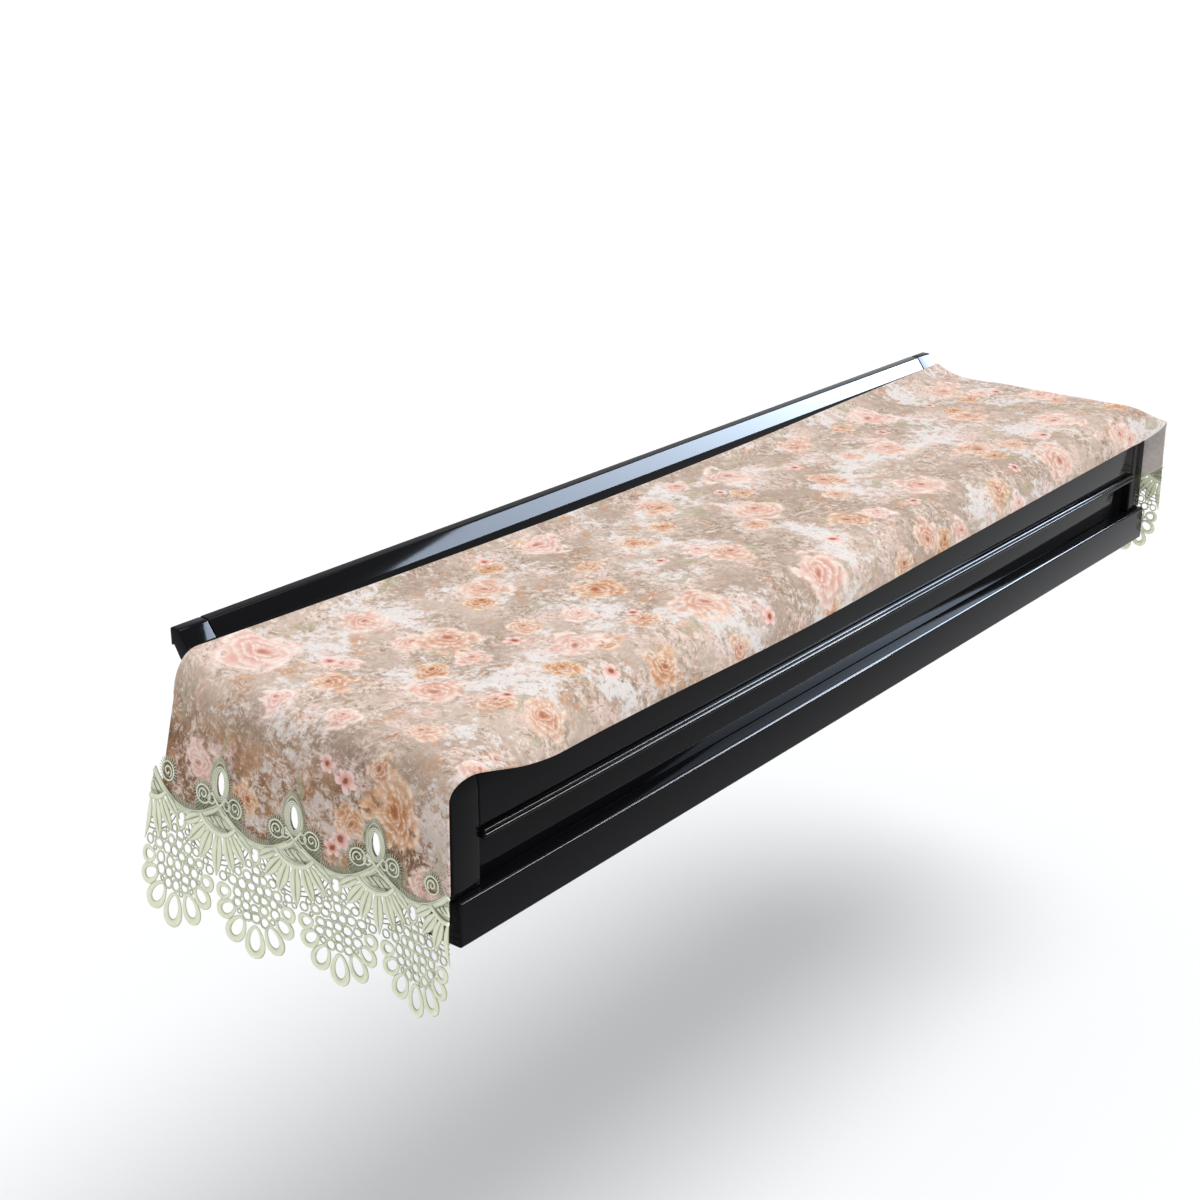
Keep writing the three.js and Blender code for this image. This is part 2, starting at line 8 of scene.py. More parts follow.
import bpy
import numpy as np
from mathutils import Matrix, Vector


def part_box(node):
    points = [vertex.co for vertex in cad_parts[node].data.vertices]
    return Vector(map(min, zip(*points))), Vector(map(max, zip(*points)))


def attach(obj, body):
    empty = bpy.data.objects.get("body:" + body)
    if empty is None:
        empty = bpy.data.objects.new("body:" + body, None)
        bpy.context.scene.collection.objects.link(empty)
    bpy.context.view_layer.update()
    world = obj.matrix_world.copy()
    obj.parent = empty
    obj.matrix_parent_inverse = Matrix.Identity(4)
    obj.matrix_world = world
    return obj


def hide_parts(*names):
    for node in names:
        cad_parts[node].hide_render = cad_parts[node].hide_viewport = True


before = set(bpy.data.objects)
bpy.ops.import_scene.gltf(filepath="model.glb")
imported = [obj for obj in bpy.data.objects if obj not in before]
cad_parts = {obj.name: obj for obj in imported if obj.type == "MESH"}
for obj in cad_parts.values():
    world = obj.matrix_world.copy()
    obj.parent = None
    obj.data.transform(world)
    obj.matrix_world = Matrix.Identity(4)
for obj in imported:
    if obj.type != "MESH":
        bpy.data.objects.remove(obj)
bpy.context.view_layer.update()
MM = 0.001

# Case section
CASE_FRONT_Y = -372
LID_TOP_Z = -14
HINGE_LEDGE_DEPTH = 13
HINGE_SLOPE_DEPTH = 12
HINGE_TOP_Z = 18
COVE_RADIUS = 128
COVE_DEPTH = 62
NOSE_RADIUS = 46
BOARD = 20
ARC_STEPS = 14
LID_FOOT_Z = -98
CHEEK_FOOT_Z = -156.7
REED_Z = -102.8
REED_GROOVE = 0.4
LID_BEVEL = 1.5
CHEEK_BEVEL = 3
SLIP_BEVEL = 1
RAIL_BEVEL = 3
BROAD_REED_BEVEL = 3
NARROW_REED_BEVEL = 1.8
BEVEL_SEGMENTS = 5
BEVEL_ANGLE = 40
BOARD_SHADE_ANGLE = 22

# Cloth
CLOTH_WIDTH = 380
CLOTH_THICKNESS = 1.6
FLAT_CLEARANCE = 0.5
EDGE_CLEARANCE = 2.1
RIPPLE_HEIGHT = 2.2
RIPPLE_LENGTH = 173
RIPPLE_SLANT_ALONG = 0.7
RIPPLE_SLANT_ACROSS = 0.4
SHOULDER_START = 732
SHOULDER_TURN = 60
SHOULDER_DROP = 32
SHOULDER_EASE = 70
SETTLE_POWER = 0.7
HANG_LENGTH = 240
HANG_NARROWING = 0.03
UNROLL_LENGTH = {"left": 190, "right": 60}
COVE_UNROLL_START = 14
COVE_START_ACROSS = 62
NOSE_START_ACROSS = 301
HEM_WIDTH = 7
HEM_RISE = 0.5
HEM_EASE = 1.5
CLOTH_SHADE_ANGLE = 50

# Rows (across, bend over the case's end, swing out at the foot)
HANGING_ENDS = {
    "left": [(0, 28, 66), (90, 34, 37), (190, 36, 8), (290, 26, 3), (380, 33, 4)],
    "right": [(0, 24, 6), (90, 28, 6), (190, 31, 6), (290, 23, 6), (380, 26, 6)],
}
# Rows (along, drop of the front hem) and (along, draw of the back hem down the cove)
FRONT_EDGE = [(-740, -1), (-460, 0), (-170, 5), (160, -1), (440, -5), (740, -9)]
BACK_EDGE = [(-740, 3), (-460, 10), (-120, 15), (200, 13), (480, 6), (740, 1)]

# Soft ridges: from (along, across) to (along, across), width, height
RIDGES = [
    ((-930, 40), (-770, 70), 22, 2.2),
    ((-930, 150), (-780, 120), 30, 1.8),
    ((-930, 235), (-775, 262), 24, 2.4),
    ((-920, 330), (-740, 345), 18, 1.6),
    ((-735, 300), (-610, 352), 20, 1.8),
    ((-560, 40), (-420, 120), 26, 1.0),
    ((-250, 200), (-90, 262), 34, 1.2),
    ((60, 60), (190, 150), 30, 1.0),
    ((330, 190), (470, 250), 34, 1.2),
    ((610, 260), (735, 330), 24, 1.6),
    ((760, 120), (900, 110), 26, 1.8),
    ((770, 250), (900, 270), 22, 1.8),
]

# Lace: a repeat is measured across from the eyelet's axis and down from the band's cusp
LACE_GAP = 0.35
LACE_START = -14
REPEAT = 98.5
REPEATS = 4
SWAG_SAG = 21
BAND_HALF_WIDTH = 3.2
BAND_CORDS = (-3.1, 3.1)
BAND_PICOT = (3.6, 9)
LACE_HEIGHTS = {"left": (-138, 14), "right": (-98, 4)}
FOOT_LOW_ACROSS = 250
FOOT_LIFT_SPAN = 210
EYELET_DOWN = -23
EYELET_HALF = (4.8, 12)
EYELET_CORDS = [1.0, 2.9, 4.8]
EYELET_THREAD = 1.0
# Halo round the tall eyelet: turn each way, room, peak, and its picots' root and tip
HALO_TURN = 150
HALO_ROOM = (6.4, 7)
HALO_PEAK = 3
HALO_PICOT = (1.2, 4.6)
SIDE_EYELETS = [(-10.5, -5), (10.5, -5)]
SIDE_EYELET_HALF = (3, 3.4)
CLOTH_CUT_MARGIN = 1
DROP_HOLE_DOWN = 31
DROP_HOLE_HALF = (4.4, 7)
FAN_DOWN = 13
FAN_ARCS = [34, 39, 44]
FAN_ARC_TURN = 74
# Petals on one hand: root, tip, half width
FAN_PETALS = [
    ((0, 27), (0, 70), 6.9),
    ((9.5, 26), (21.5, 60), 6.8),
    ((17, 22.5), (37.5, 48), 6.5),
    ((23, 16.5), (46.5, 31.5), 5.6),
]
CRESCENT_DOWN = -1
CRESCENT_RADIUS = 27.5
CRESCENT_TURN = 56
LENS_ARCS = [23, 19.5, 16, 12.5, 9, 5.8]
LENS_ARC_TURN = 60
LENS_STITCHES = [(-9, 15), (-4, 13), (1, 17), (6, 14), (10.5, 18)]
THREAD_SPACING = 3.8
THREADS_HALF_WIDTH = 34
NET_PITCH = 11
NET_STRAY = 1.3
NET_RADIUS = 5.2
NET_SIZES = (0.86, 1.12)
NET_THREADS = (1.1, 1.5)
NET_ROWS = [(46, 1), (56, 3), (66, 6), (77, 5), (87.5, 5), (98, 3)]
SCALLOP_DOWN = 70
LOOP_THREAD = 1.8
LOOP_STEPS = 28
# Rows (angle, reach, half length, half width, toe)
LOOPS = [
    (-74, 39, 4.6, 4.7, 6),
    (-51, 42, 7.2, 5.6, 7),
    (-26, 47, 10, 6.4, 8),
    (0, 50, 11.5, 6.6, 8.4),
    (26, 47, 10, 6.4, 8),
    (51, 42, 7.2, 5.6, 7),
    (74, 39, 4.6, 4.7, 6),
]
ROSETTE_ACROSS = 21.5
ROSETTE_DOWN = -6
ROSETTE_RADIUS = 8.9
# Bars inside a rosette's ring and picots outside it: their turns, and their reach from the ring
ROSETTE_BARS = np.arange(0, 360, 15)
ROSETTE_BAR = (-2.6, 0)
ROSETTE_PICOTS = np.arange(60, 331, 13.5)
ROSETTE_PICOT = (0.6, 5)
CURL_START = 40
CURL_TURN = 420
CURL_RADIUS = 6.2
CURL_CLOSING = 0.75
# Painted shade: the share of light a lace cord keeps at its sides
EDGE_SHADE = 0.25
LACE_SHADE_ANGLE = 60
LACE_SEED = 5
FILL_STEP = 1.4
FILL_RADIUS = 36
FILL_LEAST = 1.9
FILL_MOST = 4.8
FILL_THREAD = 0.95
FILL_OVERLAP = 0.7

# The sign of each end along the cloth
HAND = {"left": -1, "right": 1}

# Values worked out from the sizes above
CLOTH_BACK_Y = -HINGE_LEDGE_DEPTH - HINGE_SLOPE_DEPTH
COVE_START_Y = CLOTH_BACK_Y - COVE_DEPTH
NOSE_START_Y = CASE_FRONT_Y + NOSE_RADIUS
CLOTH_RISE = EDGE_CLEARANCE + CLOTH_THICKNESS / 2
SHOULDER_Z = LID_TOP_Z + CLOTH_RISE
HANG_TOP_Z = SHOULDER_Z - SHOULDER_DROP
LACE_END = LACE_START + REPEATS * REPEAT
LACE_BASE = CLOTH_THICKNESS / 2 + LACE_GAP


# The draped surface

def smooth(value, low, high):
    share = np.clip((value - low) / (high - low), 0, 1)
    return share * share * (3 - 2 * share)


def column(rows, field):
    """A smooth curve through one column of a table, by the place in its first column."""
    places = np.array([row[0] for row in rows], float)
    values = np.array([row[field] for row in rows], float)
    secants = np.diff(values) / np.diff(places)
    inner = (secants[1:] + secants[:-1]) / 2
    slopes = np.concatenate([secants[:1], inner, secants[-1:]])

    def curve(place):
        place = np.clip(place, places[0], places[-1])
        i = np.clip(np.searchsorted(places, place) - 1, 0, len(places) - 2)
        gap = places[i + 1] - places[i]
        t = (place - places[i]) / gap
        rise = t * t * (3 - 2 * t)
        start = t * (1 - t) ** 2 * gap * slopes[i]
        end = t * t * (t - 1) * gap * slopes[i + 1]
        return values[i] + (values[i + 1] - values[i]) * rise + start + end

    return curve


BEND = {side: column(rows, 1) for side, rows in HANGING_ENDS.items()}
FLARE = {side: column(rows, 2) for side, rows in HANGING_ENDS.items()}
FRONT_DROP = column(FRONT_EDGE, 1)
BACK_DRAW = column(BACK_EDGE, 1)


def roll(length, curvature):
    """Level run and turned-away distance of a length of cloth laid round an arc."""
    flat = np.abs(curvature) < 1e-6
    bent = np.where(flat, 1, curvature)
    run = np.where(flat, length, np.sin(length * bent) / bent)
    turn = np.where(flat, 0, (1 - np.cos(length * bent)) / bent)
    return run, turn


def cross_section(side, along, across, past):
    """The cloth's Y and Z front to back: up the cove, over the lid and round the nose."""
    unrolled = smooth(past, -UNROLL_LENGTH[side], SHOULDER_TURN)
    nose = np.maximum(across - NOSE_START_ACROSS, 0)
    drop = (1 - unrolled) * nose / (CLOTH_WIDTH - NOSE_START_ACROSS) * FRONT_DROP(along)
    nose_run, nose_turn = roll(nose + drop, (1 - unrolled) / (NOSE_RADIUS + CLOTH_RISE))
    opened = smooth(past, COVE_UNROLL_START, SHOULDER_TURN)
    cove = np.maximum(COVE_START_ACROSS - across, 0)
    draw = (1 - opened) * cove / COVE_START_ACROSS * BACK_DRAW(along)
    cove_run, cove_turn = roll(cove - draw, (1 - opened) / (COVE_RADIUS - CLOTH_RISE))
    span = NOSE_START_ACROSS - COVE_START_ACROSS
    share = np.clip((across - COVE_START_ACROSS) / span, 0, 1)
    y = COVE_START_Y + (NOSE_START_Y - COVE_START_Y) * share + cove_run - nose_run
    return y, SHOULDER_Z + cove_turn - nose_turn


def settle(across, past):
    """How close the cloth lies to the lid: most in its middle, least at its edges."""
    share = (across - COVE_START_ACROSS) / (NOSE_START_ACROSS - COVE_START_ACROSS)
    middle = smooth(-past, 0, SHOULDER_EASE)
    return middle * np.sin(np.clip(share, 0, 1) * math.pi) ** SETTLE_POWER


def ripple(along, across):
    turn = 2 * math.pi / RIPPLE_LENGTH
    wave = np.sin((along + RIPPLE_SLANT_ACROSS * across) * turn)
    cross = np.sin((RIPPLE_SLANT_ALONG * along - across) * turn)
    return RIPPLE_HEIGHT * (2 + wave + cross) / 4


def drape_end(side, along, across):
    past = np.abs(along) - SHOULDER_START
    y, z = cross_section(side, along, across, past)
    y = CLOTH_BACK_Y + (y - CLOTH_BACK_Y) * (1 - HANG_NARROWING * smooth(past, 0, SHOULDER_TURN))
    lowered = EDGE_CLEARANCE - FLAT_CLEARANCE - ripple(along, across)
    lid_z = z - lowered * settle(across, past)
    bend = BEND[side](across)
    share = np.clip(past / SHOULDER_TURN, 0, 1)
    drop = bend + (SHOULDER_DROP - bend) * share
    turn_z = z - drop * (1 - np.cos(share * math.pi / 2))
    hang_z = HANG_TOP_Z - (past - SHOULDER_TURN)
    hang_x = bend + FLARE[side](across) * (HANG_TOP_Z - hang_z) / HANG_LENGTH
    turn_x = bend * np.sin(share * math.pi / 2)
    places = [past <= 0, past <= SHOULDER_TURN]
    x = np.select(places, [past, turn_x], hang_x) + SHOULDER_START
    return np.stack([np.sign(along) * x, y, np.select(places, [lid_z, turn_z], hang_z)], -1)


def drape(along, across):
    """Points of the cloth's middle surface."""
    points = np.empty(along.shape + (3,))
    for side, here in (("left", along < 0), ("right", along >= 0)):
        points[here] = drape_end(side, along[here], across[here])
    return points


def drape_normal(along, across, step=0.5):
    lengthwise = drape(along + step, across) - drape(along - step, across)
    crosswise = drape(along, across - step) - drape(along, across + step)
    normal = np.cross(lengthwise, crosswise)
    return normal / np.linalg.norm(normal, axis=-1, keepdims=True)


def ridge_height(along, across):
    """Outward height of the soft ridges in the cloth."""
    height = np.zeros(along.shape)
    for start, end, width, rise in RIDGES:
        run = np.subtract(end, start)
        offset = np.stack([along - start[0], across - start[1]], -1)
        share = np.clip(offset @ run / (run @ run), 0, 1)
        apart = np.linalg.norm(offset - share[..., None] * run, axis=-1)
        height += rise * np.exp(-((apart / width) ** 2))
    return height


def cloth_points(along, across, offset):
    """Points at an outward offset from the cloth's middle surface, ridges included."""
    out = ridge_height(along, across) + offset
    return drape(along, across) + drape_normal(along, across) * out[..., None]


# The hanging ends' own measure: across the cloth and down from the band's cusps

def hem_z(side, across):
    cusp_z, foot_lift = LACE_HEIGHTS[side]
    return cusp_z + foot_lift * ((across - FOOT_LOW_ACROSS) / FOOT_LIFT_SPAN) ** 2


def along_of(side, across, down):
    past = SHOULDER_TURN + HANG_TOP_Z - (hem_z(side, across) - down)
    return (SHOULDER_START + past) * HAND[side]


def down_of(side, along, across):
    past = np.abs(along) - SHOULDER_START
    return hem_z(side, across) - (HANG_TOP_Z - (past - SHOULDER_TURN))


def swag_down(across):
    share = np.mod(across - LACE_START, REPEAT) / REPEAT
    return 4 * SWAG_SAG * share * (1 - share)


# Meshes

def link_object(name, data):
    holder = bpy.data.objects.new(name, data)
    bpy.context.scene.collection.objects.link(holder)
    return holder


def mesh_object(name, points, faces):
    mesh = bpy.data.meshes.new(name)
    mesh.from_pydata((points * MM).tolist(), [], faces)
    mesh.update()
    return link_object(name, mesh)


def only(piece):
    bpy.ops.object.select_all(action="DESELECT")
    piece.select_set(True)
    bpy.context.view_layer.objects.active = piece


def shade_smooth(piece, degrees):
    only(piece)
    bpy.ops.object.shade_smooth_by_angle(angle=math.radians(degrees))


def turn_outward(piece):
    """Makes every face look out of the piece."""
    only(piece)
    bpy.ops.object.mode_set(mode="EDIT")
    bpy.ops.mesh.select_all(action="SELECT")
    bpy.ops.mesh.normals_make_consistent(inside=False)
    bpy.ops.object.mode_set(mode="OBJECT")


def set_corner_map(mesh, name, places):
    layer = mesh.uv_layers.new(name=name)
    layer.data.foreach_set("uv", np.asarray(places, np.float32).ravel())


def set_value(mesh, name, values, domain="FACE"):
    layer = mesh.attributes.new(name, "FLOAT", domain)
    layer.data.foreach_set("value", np.asarray(values, np.float32))


def corner_vertices(mesh):
    found = np.empty(len(mesh.loops), np.int32)
    mesh.loops.foreach_get("vertex_index", found)
    return found


# Cloth

CLOTH_STEP = 5
EYELET_STEP = 2
EYELET_REACH = 10
HANG_ROWS = {"left": 34, "right": 26}

# Roses of the print: along, across, radius, turn, tint from cream pink 0 to orange 1
ROSES = [
    (-829, 309, 43, 0.4, 0.94),
    (-848, 250, 19, 3.0, 0.88),
    (-884, 346, 22, 2.2, 0.30),
    (-842, 55, 28, 1.0, 0.20),
    (-858, 118, 20, 3.9, 0.95),
    (-690, 40, 46, 5.1, 0.10),
    (-690, 150, 29, 1.9, 0.70),
    (-640, 240, 33, 2.8, 0.35),
    (-600, 345, 29, 0.7, 0.60),
    (-560, 60, 32, 4.4, 0.30),
    (-545, 165, 39, 0.1, 0.55),
    (-470, 268, 37, 3.3, 0.20),
    (-420, 350, 27, 5.9, 0.80),
    (-410, 95, 33, 1.3, 0.45),
    (-330, 190, 35, 2.4, 0.85),
    (-300, 300, 40, 4.9, 0.40),
    (-262, 48, 37, 0.9, 0.15),
    (-190, 130, 27, 3.0, 0.70),
    (-150, 235, 32, 5.5, 0.50),
    (-110, 335, 43, 1.6, 0.25),
    (-70, 70, 29, 4.0, 0.60),
    (0, 170, 37, 0.3, 0.35),
    (40, 275, 32, 2.0, 0.80),
    (85, 60, 40, 5.2, 0.20),
    (110, 350, 27, 3.6, 0.55),
    (160, 170, 29, 1.1, 0.65),
    (215, 270, 39, 4.3, 0.30),
    (260, 55, 32, 2.7, 0.50),
    (300, 345, 29, 0.5, 0.75),
    (330, 160, 37, 5.8, 0.25),
    (400, 250, 32, 3.1, 0.60),
    (450, 60, 39, 1.5, 0.15),
    (470, 340, 40, 4.7, 0.35),
    (540, 165, 32, 0.2, 0.55),
    (600, 270, 35, 2.3, 0.20),
    (640, 70, 33, 5.4, 0.40),
    (660, 350, 28, 3.8, 0.30),
    (720, 190, 35, 1.2, 0.25),
    (800, 90, 29, 4.1, 0.50),
    (812, 300, 33, 0.8, 0.35),
]

# Small blossoms of the print: along, across, radius, turn
BLOSSOMS = [
    (-796, 226, 10, 0.3),
    (-808, 248, 13, 1.1),
    (-869, 240, 12, 2.0),
    (-880, 229, 11, 0.7),
    (-655, 110, 11, 0.2),
    (-610, 300, 10, 1.5),
    (-500, 215, 12, 0.9),
    (-488, 330, 11, 2.4),
    (-365, 262, 10, 0.1),
    (-350, 35, 12, 1.8),
    (-232, 350, 11, 0.6),
    (-222, 190, 10, 2.2),
    (-35, 300, 12, 1.3),
    (30, 95, 10, 0.4),
    (150, 300, 11, 2.7),
    (175, 110, 12, 1.0),
    (372, 325, 10, 0.8),
    (395, 110, 11, 2.1),
    (520, 290, 12, 0.5),
    (560, 90, 10, 1.6),
    (690, 130, 11, 0.3),
    (735, 290, 10, 1.9),
    (790, 210, 12, 1.2),
]


def cloth_stops():
    """Places along the cloth up to its hanging ends, and across it, closer at the eyelets."""
    turn = SHOULDER_START + SHOULDER_TURN
    along = np.linspace(-turn, turn, int(2 * turn / CLOTH_STEP))
    across = np.arange(0, CLOTH_WIDTH + 1, CLOTH_STEP, float)
    for repeat in range(1, REPEATS):
        axis = LACE_START + repeat * REPEAT
        fine = np.arange(axis - EYELET_REACH, axis + EYELET_REACH + 1, EYELET_STEP)
        apart = np.abs(across - axis) > EYELET_REACH + EYELET_STEP / 2
        across = np.sort(np.concatenate([across[apart], fine]))
    return along, across


def cloth_grid():
    """The whole sheet's places along and across; its last lines follow the lace's band."""
    lid_along, across = cloth_stops()
    turn = SHOULDER_START + SHOULDER_TURN
    lines = {}
    for side, sign in HAND.items():
        share = np.linspace(0, 1, HANG_ROWS[side] + 1)[1:, None]
        edge = np.abs(along_of(side, across, swag_down(across)))
        lines[side] = sign * (turn + share * (edge - turn))
    lid = np.repeat(lid_along[:, None], len(across), 1)
    along = np.concatenate([lines["left"][::-1], lid, lines["right"]])
    return along, np.broadcast_to(across, along.shape).copy()


def cut_eyelets(along, across):
    """Moves grid places inside an eyelet out to its rim, and marks the ones that were inside."""
    inside = np.zeros(along.shape, bool)
    holes = [(0, EYELET_DOWN, *EYELET_HALF)]
    holes += [(*place, *SIDE_EYELET_HALF) for place in SIDE_EYELETS]
    for side, sign in HAND.items():
        for repeat in range(1, REPEATS):
            for offset, middle, half_width, half_height in holes:
                wide = across - (LACE_START + repeat * REPEAT + offset)
                high = down_of(side, along, across) - middle
                size = (half_width + CLOTH_CUT_MARGIN, half_height + CLOTH_CUT_MARGIN)
                reach = np.hypot(wide / size[0], high / size[1])
                here = (reach < 1) & (along * sign > SHOULDER_START)
                inside |= here
                grow = (1 / np.maximum(reach, 0.05) - 1)[here]
                across[here] += wide[here] * grow
                along[here] += sign * high[here] * grow
    return inside


def cloth_sheet():
    along, across = cloth_grid()
    inside = cut_eyelets(along, across)
    rows, columns = along.shape
    index = np.arange(rows * columns).reshape(rows, columns)
    corners = [index[:-1, :-1], index[:-1, 1:], index[1:, 1:], index[1:, :-1]]
    quads = np.stack(corners, -1).reshape(-1, 4)
    quads = quads[~inside.ravel()[quads].all(1)]
    along, across = along.ravel(), across.ravel()
    edge = np.minimum(across, CLOTH_WIDTH - across)
    hem = HEM_RISE * smooth(HEM_WIDTH - edge, 0, HEM_EASE)
    half = CLOTH_THICKNESS / 2
    outer = cloth_points(along, across, half + hem)
    inner = cloth_points(along, across, np.full(along.shape, -half))
    count = len(along)
    sides = [(a, b) for quad in quads.tolist() for a, b in zip(quad, quad[1:] + quad[:1])]
    shared = set(sides)
    rim = [(b, a, a + count, b + count) for a, b in sides if (b, a) not in shared]
    faces = quads.tolist() + (quads[:, ::-1] + count).tolist() + rim
    piece = mesh_object("cloth_cover", np.concatenate([outer, inner]), faces)
    places = np.tile(np.stack([along, across], -1), (2, 1))
    flat = places[corner_vertices(piece.data)]
    set_corner_map(piece.data, "flat_cloth", flat * MM)
    chart(piece.data, places, faces, BLOSSOMS, "blossom_place")
    roses = chart(piece.data, places, faces, ROSES, "rose_place")
    set_value(piece.data, "rose_tint", roses[:, 4])
    order = np.arange(len(faces))
    set_value(piece.data, "underside", (order >= len(quads)) & (order < 2 * len(quads)))
    shade_smooth(piece, CLOTH_SHADE_ANGLE)
    return piece


def chart(mesh, places, faces, rows, name):
    """Each face takes its nearest flower: a map of corner places in that flower's own measure."""
    flowers = np.array(rows)
    middles = np.array([places[list(face)].mean(0) for face in faces])
    apart = np.linalg.norm(middles[:, None] - flowers[None, :, :2], axis=-1) / flowers[:, 2]
    nearest = flowers[apart.argmin(1)]
    corners = np.repeat(nearest, 4, 0)
    offset = (places[corner_vertices(mesh)] - corners[:, :2]) / corners[:, 2:3]
    turned = corners[:, 3]
    wide = offset[:, 0] * np.cos(turned) - offset[:, 1] * np.sin(turned)
    high = offset[:, 0] * np.sin(turned) + offset[:, 1] * np.cos(turned)
    set_corner_map(mesh, name, np.stack([wide, high], -1))
    return nearest


# Lace

class Lace:
    """Collects cords in the lace's own measure, then lays them on a hanging end."""

    def __init__(self, side):
        self.side = side
        self.points = []
        self.faces = []
        self.stitches = []
        self.tones = []
        self.tracks = []
        self.count = 0
        self.chance = np.random.default_rng(LACE_SEED)

    def cord(self, path, half_width, half_height, closed=False, sides=6, tone=0.5):
        """A closed tube of oval section along a path of (across, down) points."""
        path = np.asarray(path, float)
        if path[:, 0].min() < LACE_START - 1 or path[:, 0].max() > LACE_END + 1:
            return
        rings = len(path)
        if closed:
            tangent = np.roll(path, -1, 0) - np.roll(path, 1, 0)
        else:
            tangent = np.gradient(path, axis=0)
        tangent /= np.maximum(np.linalg.norm(tangent, axis=1, keepdims=True), 1e-9)
        sideways = np.stack([-tangent[:, 1], tangent[:, 0]], -1)
        width = np.broadcast_to(half_width, rings)[:, None]
        height = np.broadcast_to(half_height, rings)[:, None]
        turn = np.arange(sides) / sides * 2 * math.pi
        flat = path[:, None] + sideways[:, None] * (width * np.cos(turn))[..., None]
        rise = height * (1 + np.sin(turn))
        self.points.append(np.concatenate([flat, rise[..., None]], -1).reshape(-1, 3))
        # Painted shade: darker towards the cord's sides, lightest on its top and underside
        shade = EDGE_SHADE + (1 - EDGE_SHADE) * np.abs(np.sin(turn))
        # Painted shade: each cord's tone, low for cords that lie in shade between others, scales
        # it
        self.tones.append(np.tile(tone * shade, rings))
        self.tracks.append(np.concatenate([path, width], 1))
        self.join_rings(self.count + np.arange(rings * sides).reshape(rings, sides), path, closed)
        self.count += rings * sides

    def join_rings(self, index, path, closed):
        """Faces between a cord's rings, each with its place along and around the cord."""
        rings, sides = index.shape
        steps = np.linalg.norm(np.diff(path, axis=0, append=path[:1]), axis=1)
        travel = np.concatenate([[0], np.cumsum(steps)])
        for ring in range(rings if closed else rings - 1):
            after = (ring + 1) % rings
            for side in range(sides):
                beside = (side + 1) % sides
                corners = (index[ring, side], index[ring, beside])
                self.faces.append((*corners, index[after, beside], index[after, side]))
                around = (side / sides, (side + 1) / sides)
                self.stitches += [(travel[ring], around[0]), (travel[ring], around[1])]
                self.stitches += [(travel[ring + 1], around[1]), (travel[ring + 1], around[0])]
        if not closed:
            for ring in (0, rings - 1):
                self.faces.append(tuple(index[ring]))
                self.stitches += [(travel[ring], 0)] * sides

    def ring(self, across, down, half_width, half_height, thread, rise, steps=20, **more):
        turn = np.arange(steps) / steps * 2 * math.pi
        path = [across + half_width * np.sin(turn), down + half_height * np.cos(turn)]
        self.cord(np.stack(path, -1), thread, rise, closed=True, **more)
        self.tracks.append(np.array([[across, down, min(half_width, half_height)]]))

    def spike(self, start, end, thread, rise=0.6, tone=0.5):
        """A picot: a short thread that narrows to its tip."""
        share = np.linspace(0, 1, 3)[:, None]
        path = np.asarray(start) + share * np.subtract(end, start)
        self.cord(path, thread * np.array([1, 0.85, 0.4]), rise, sides=4, tone=tone)

    def fill(self, places):
        """Small rings, widest first, in the spaces left between the cords laid so far."""
        tracks = np.concatenate(self.tracks)
        near = np.abs(tracks[:, 0] - places[:, 0].mean()) < REPEAT
        tracks = tracks[near]
        apart = np.linalg.norm(places[:, None] - tracks[None, :, :2], axis=-1)
        free = (apart - tracks[:, 2]).min(1)
        while free.max() > FILL_LEAST:
            best = free.argmax()
            reach = min(free[best], FILL_MOST)
            radius = reach + FILL_OVERLAP - FILL_THREAD
            self.ring(*places[best], radius, radius, FILL_THREAD, 0.7, 12, tone=0.6)
            apart = np.linalg.norm(places - places[best], axis=1)
            free = np.minimum(free, apart - radius - FILL_THREAD)

    def piece(self, name):
        across, down, rise = np.concatenate(self.points).T
        along = along_of(self.side, across, down)
        points = cloth_points(along, across, LACE_BASE + rise)
        faces = [tuple(int(i) for i in face) for face in self.faces]
        piece = mesh_object(name, points, faces)
        set_corner_map(piece.data, "stitch", np.array(self.stitches) * (MM, 1))
        set_value(piece.data, "tone", np.concatenate(self.tones), "POINT")
        turn_outward(piece)
        shade_smooth(piece, LACE_SHADE_ANGLE)
        return piece


def polar(across, down, degrees, radius):
    angle = np.radians(degrees)
    return np.stack([across + radius * np.sin(angle), down + radius * np.cos(angle)], -1)


def eyelet_motif(lace, axis):
    """The tall eyelet over a cusp in its broad rim, with picots, and two small eyelets."""
    half_width, half_height = EYELET_HALF
    for offset in EYELET_CORDS:
        size = (half_width + offset, half_height + offset * 1.05)
        lace.ring(axis, EYELET_DOWN, *size, EYELET_THREAD, 0.8, 34, tone=0.8)
    turn = np.radians(np.linspace(-HALO_TURN, HALO_TURN, 47))
    wide = (half_width + HALO_ROOM[0]) * np.sin(turn)
    high = (half_height + HALO_ROOM[1]) * np.cos(turn) + HALO_PEAK * np.cos(turn).clip(0) ** 6
    halo = np.stack([axis + wide, EYELET_DOWN - high], -1)
    lace.cord(halo, 0.8, 0.8, tone=0.75)
    outward = halo - (axis, EYELET_DOWN + 2)
    outward /= np.linalg.norm(outward, axis=1, keepdims=True)
    for place, way in zip(halo[2:-2], outward[2:-2]):
        root, tip = place - way * HALO_PICOT[0], place + way * HALO_PICOT[1]
        lace.spike(root, tip, 0.6, 0.7, 0.95)
    share = np.linspace(0, 1, 9)
    for hand in (-1, 1):
        crossing = np.stack([axis + hand * (8 - 18 * share), 7 - 19 * share ** 1.2], -1)
        lace.cord(crossing, 2.4 - 1.0 * share, 1.3, tone=0.85)
    for offset, down in SIDE_EYELETS:
        wide, high = SIDE_EYELET_HALF
        lace.ring(axis + offset, down, wide + 1.3, high + 1.3, 1.4, 1.1, 14, tone=0.8)


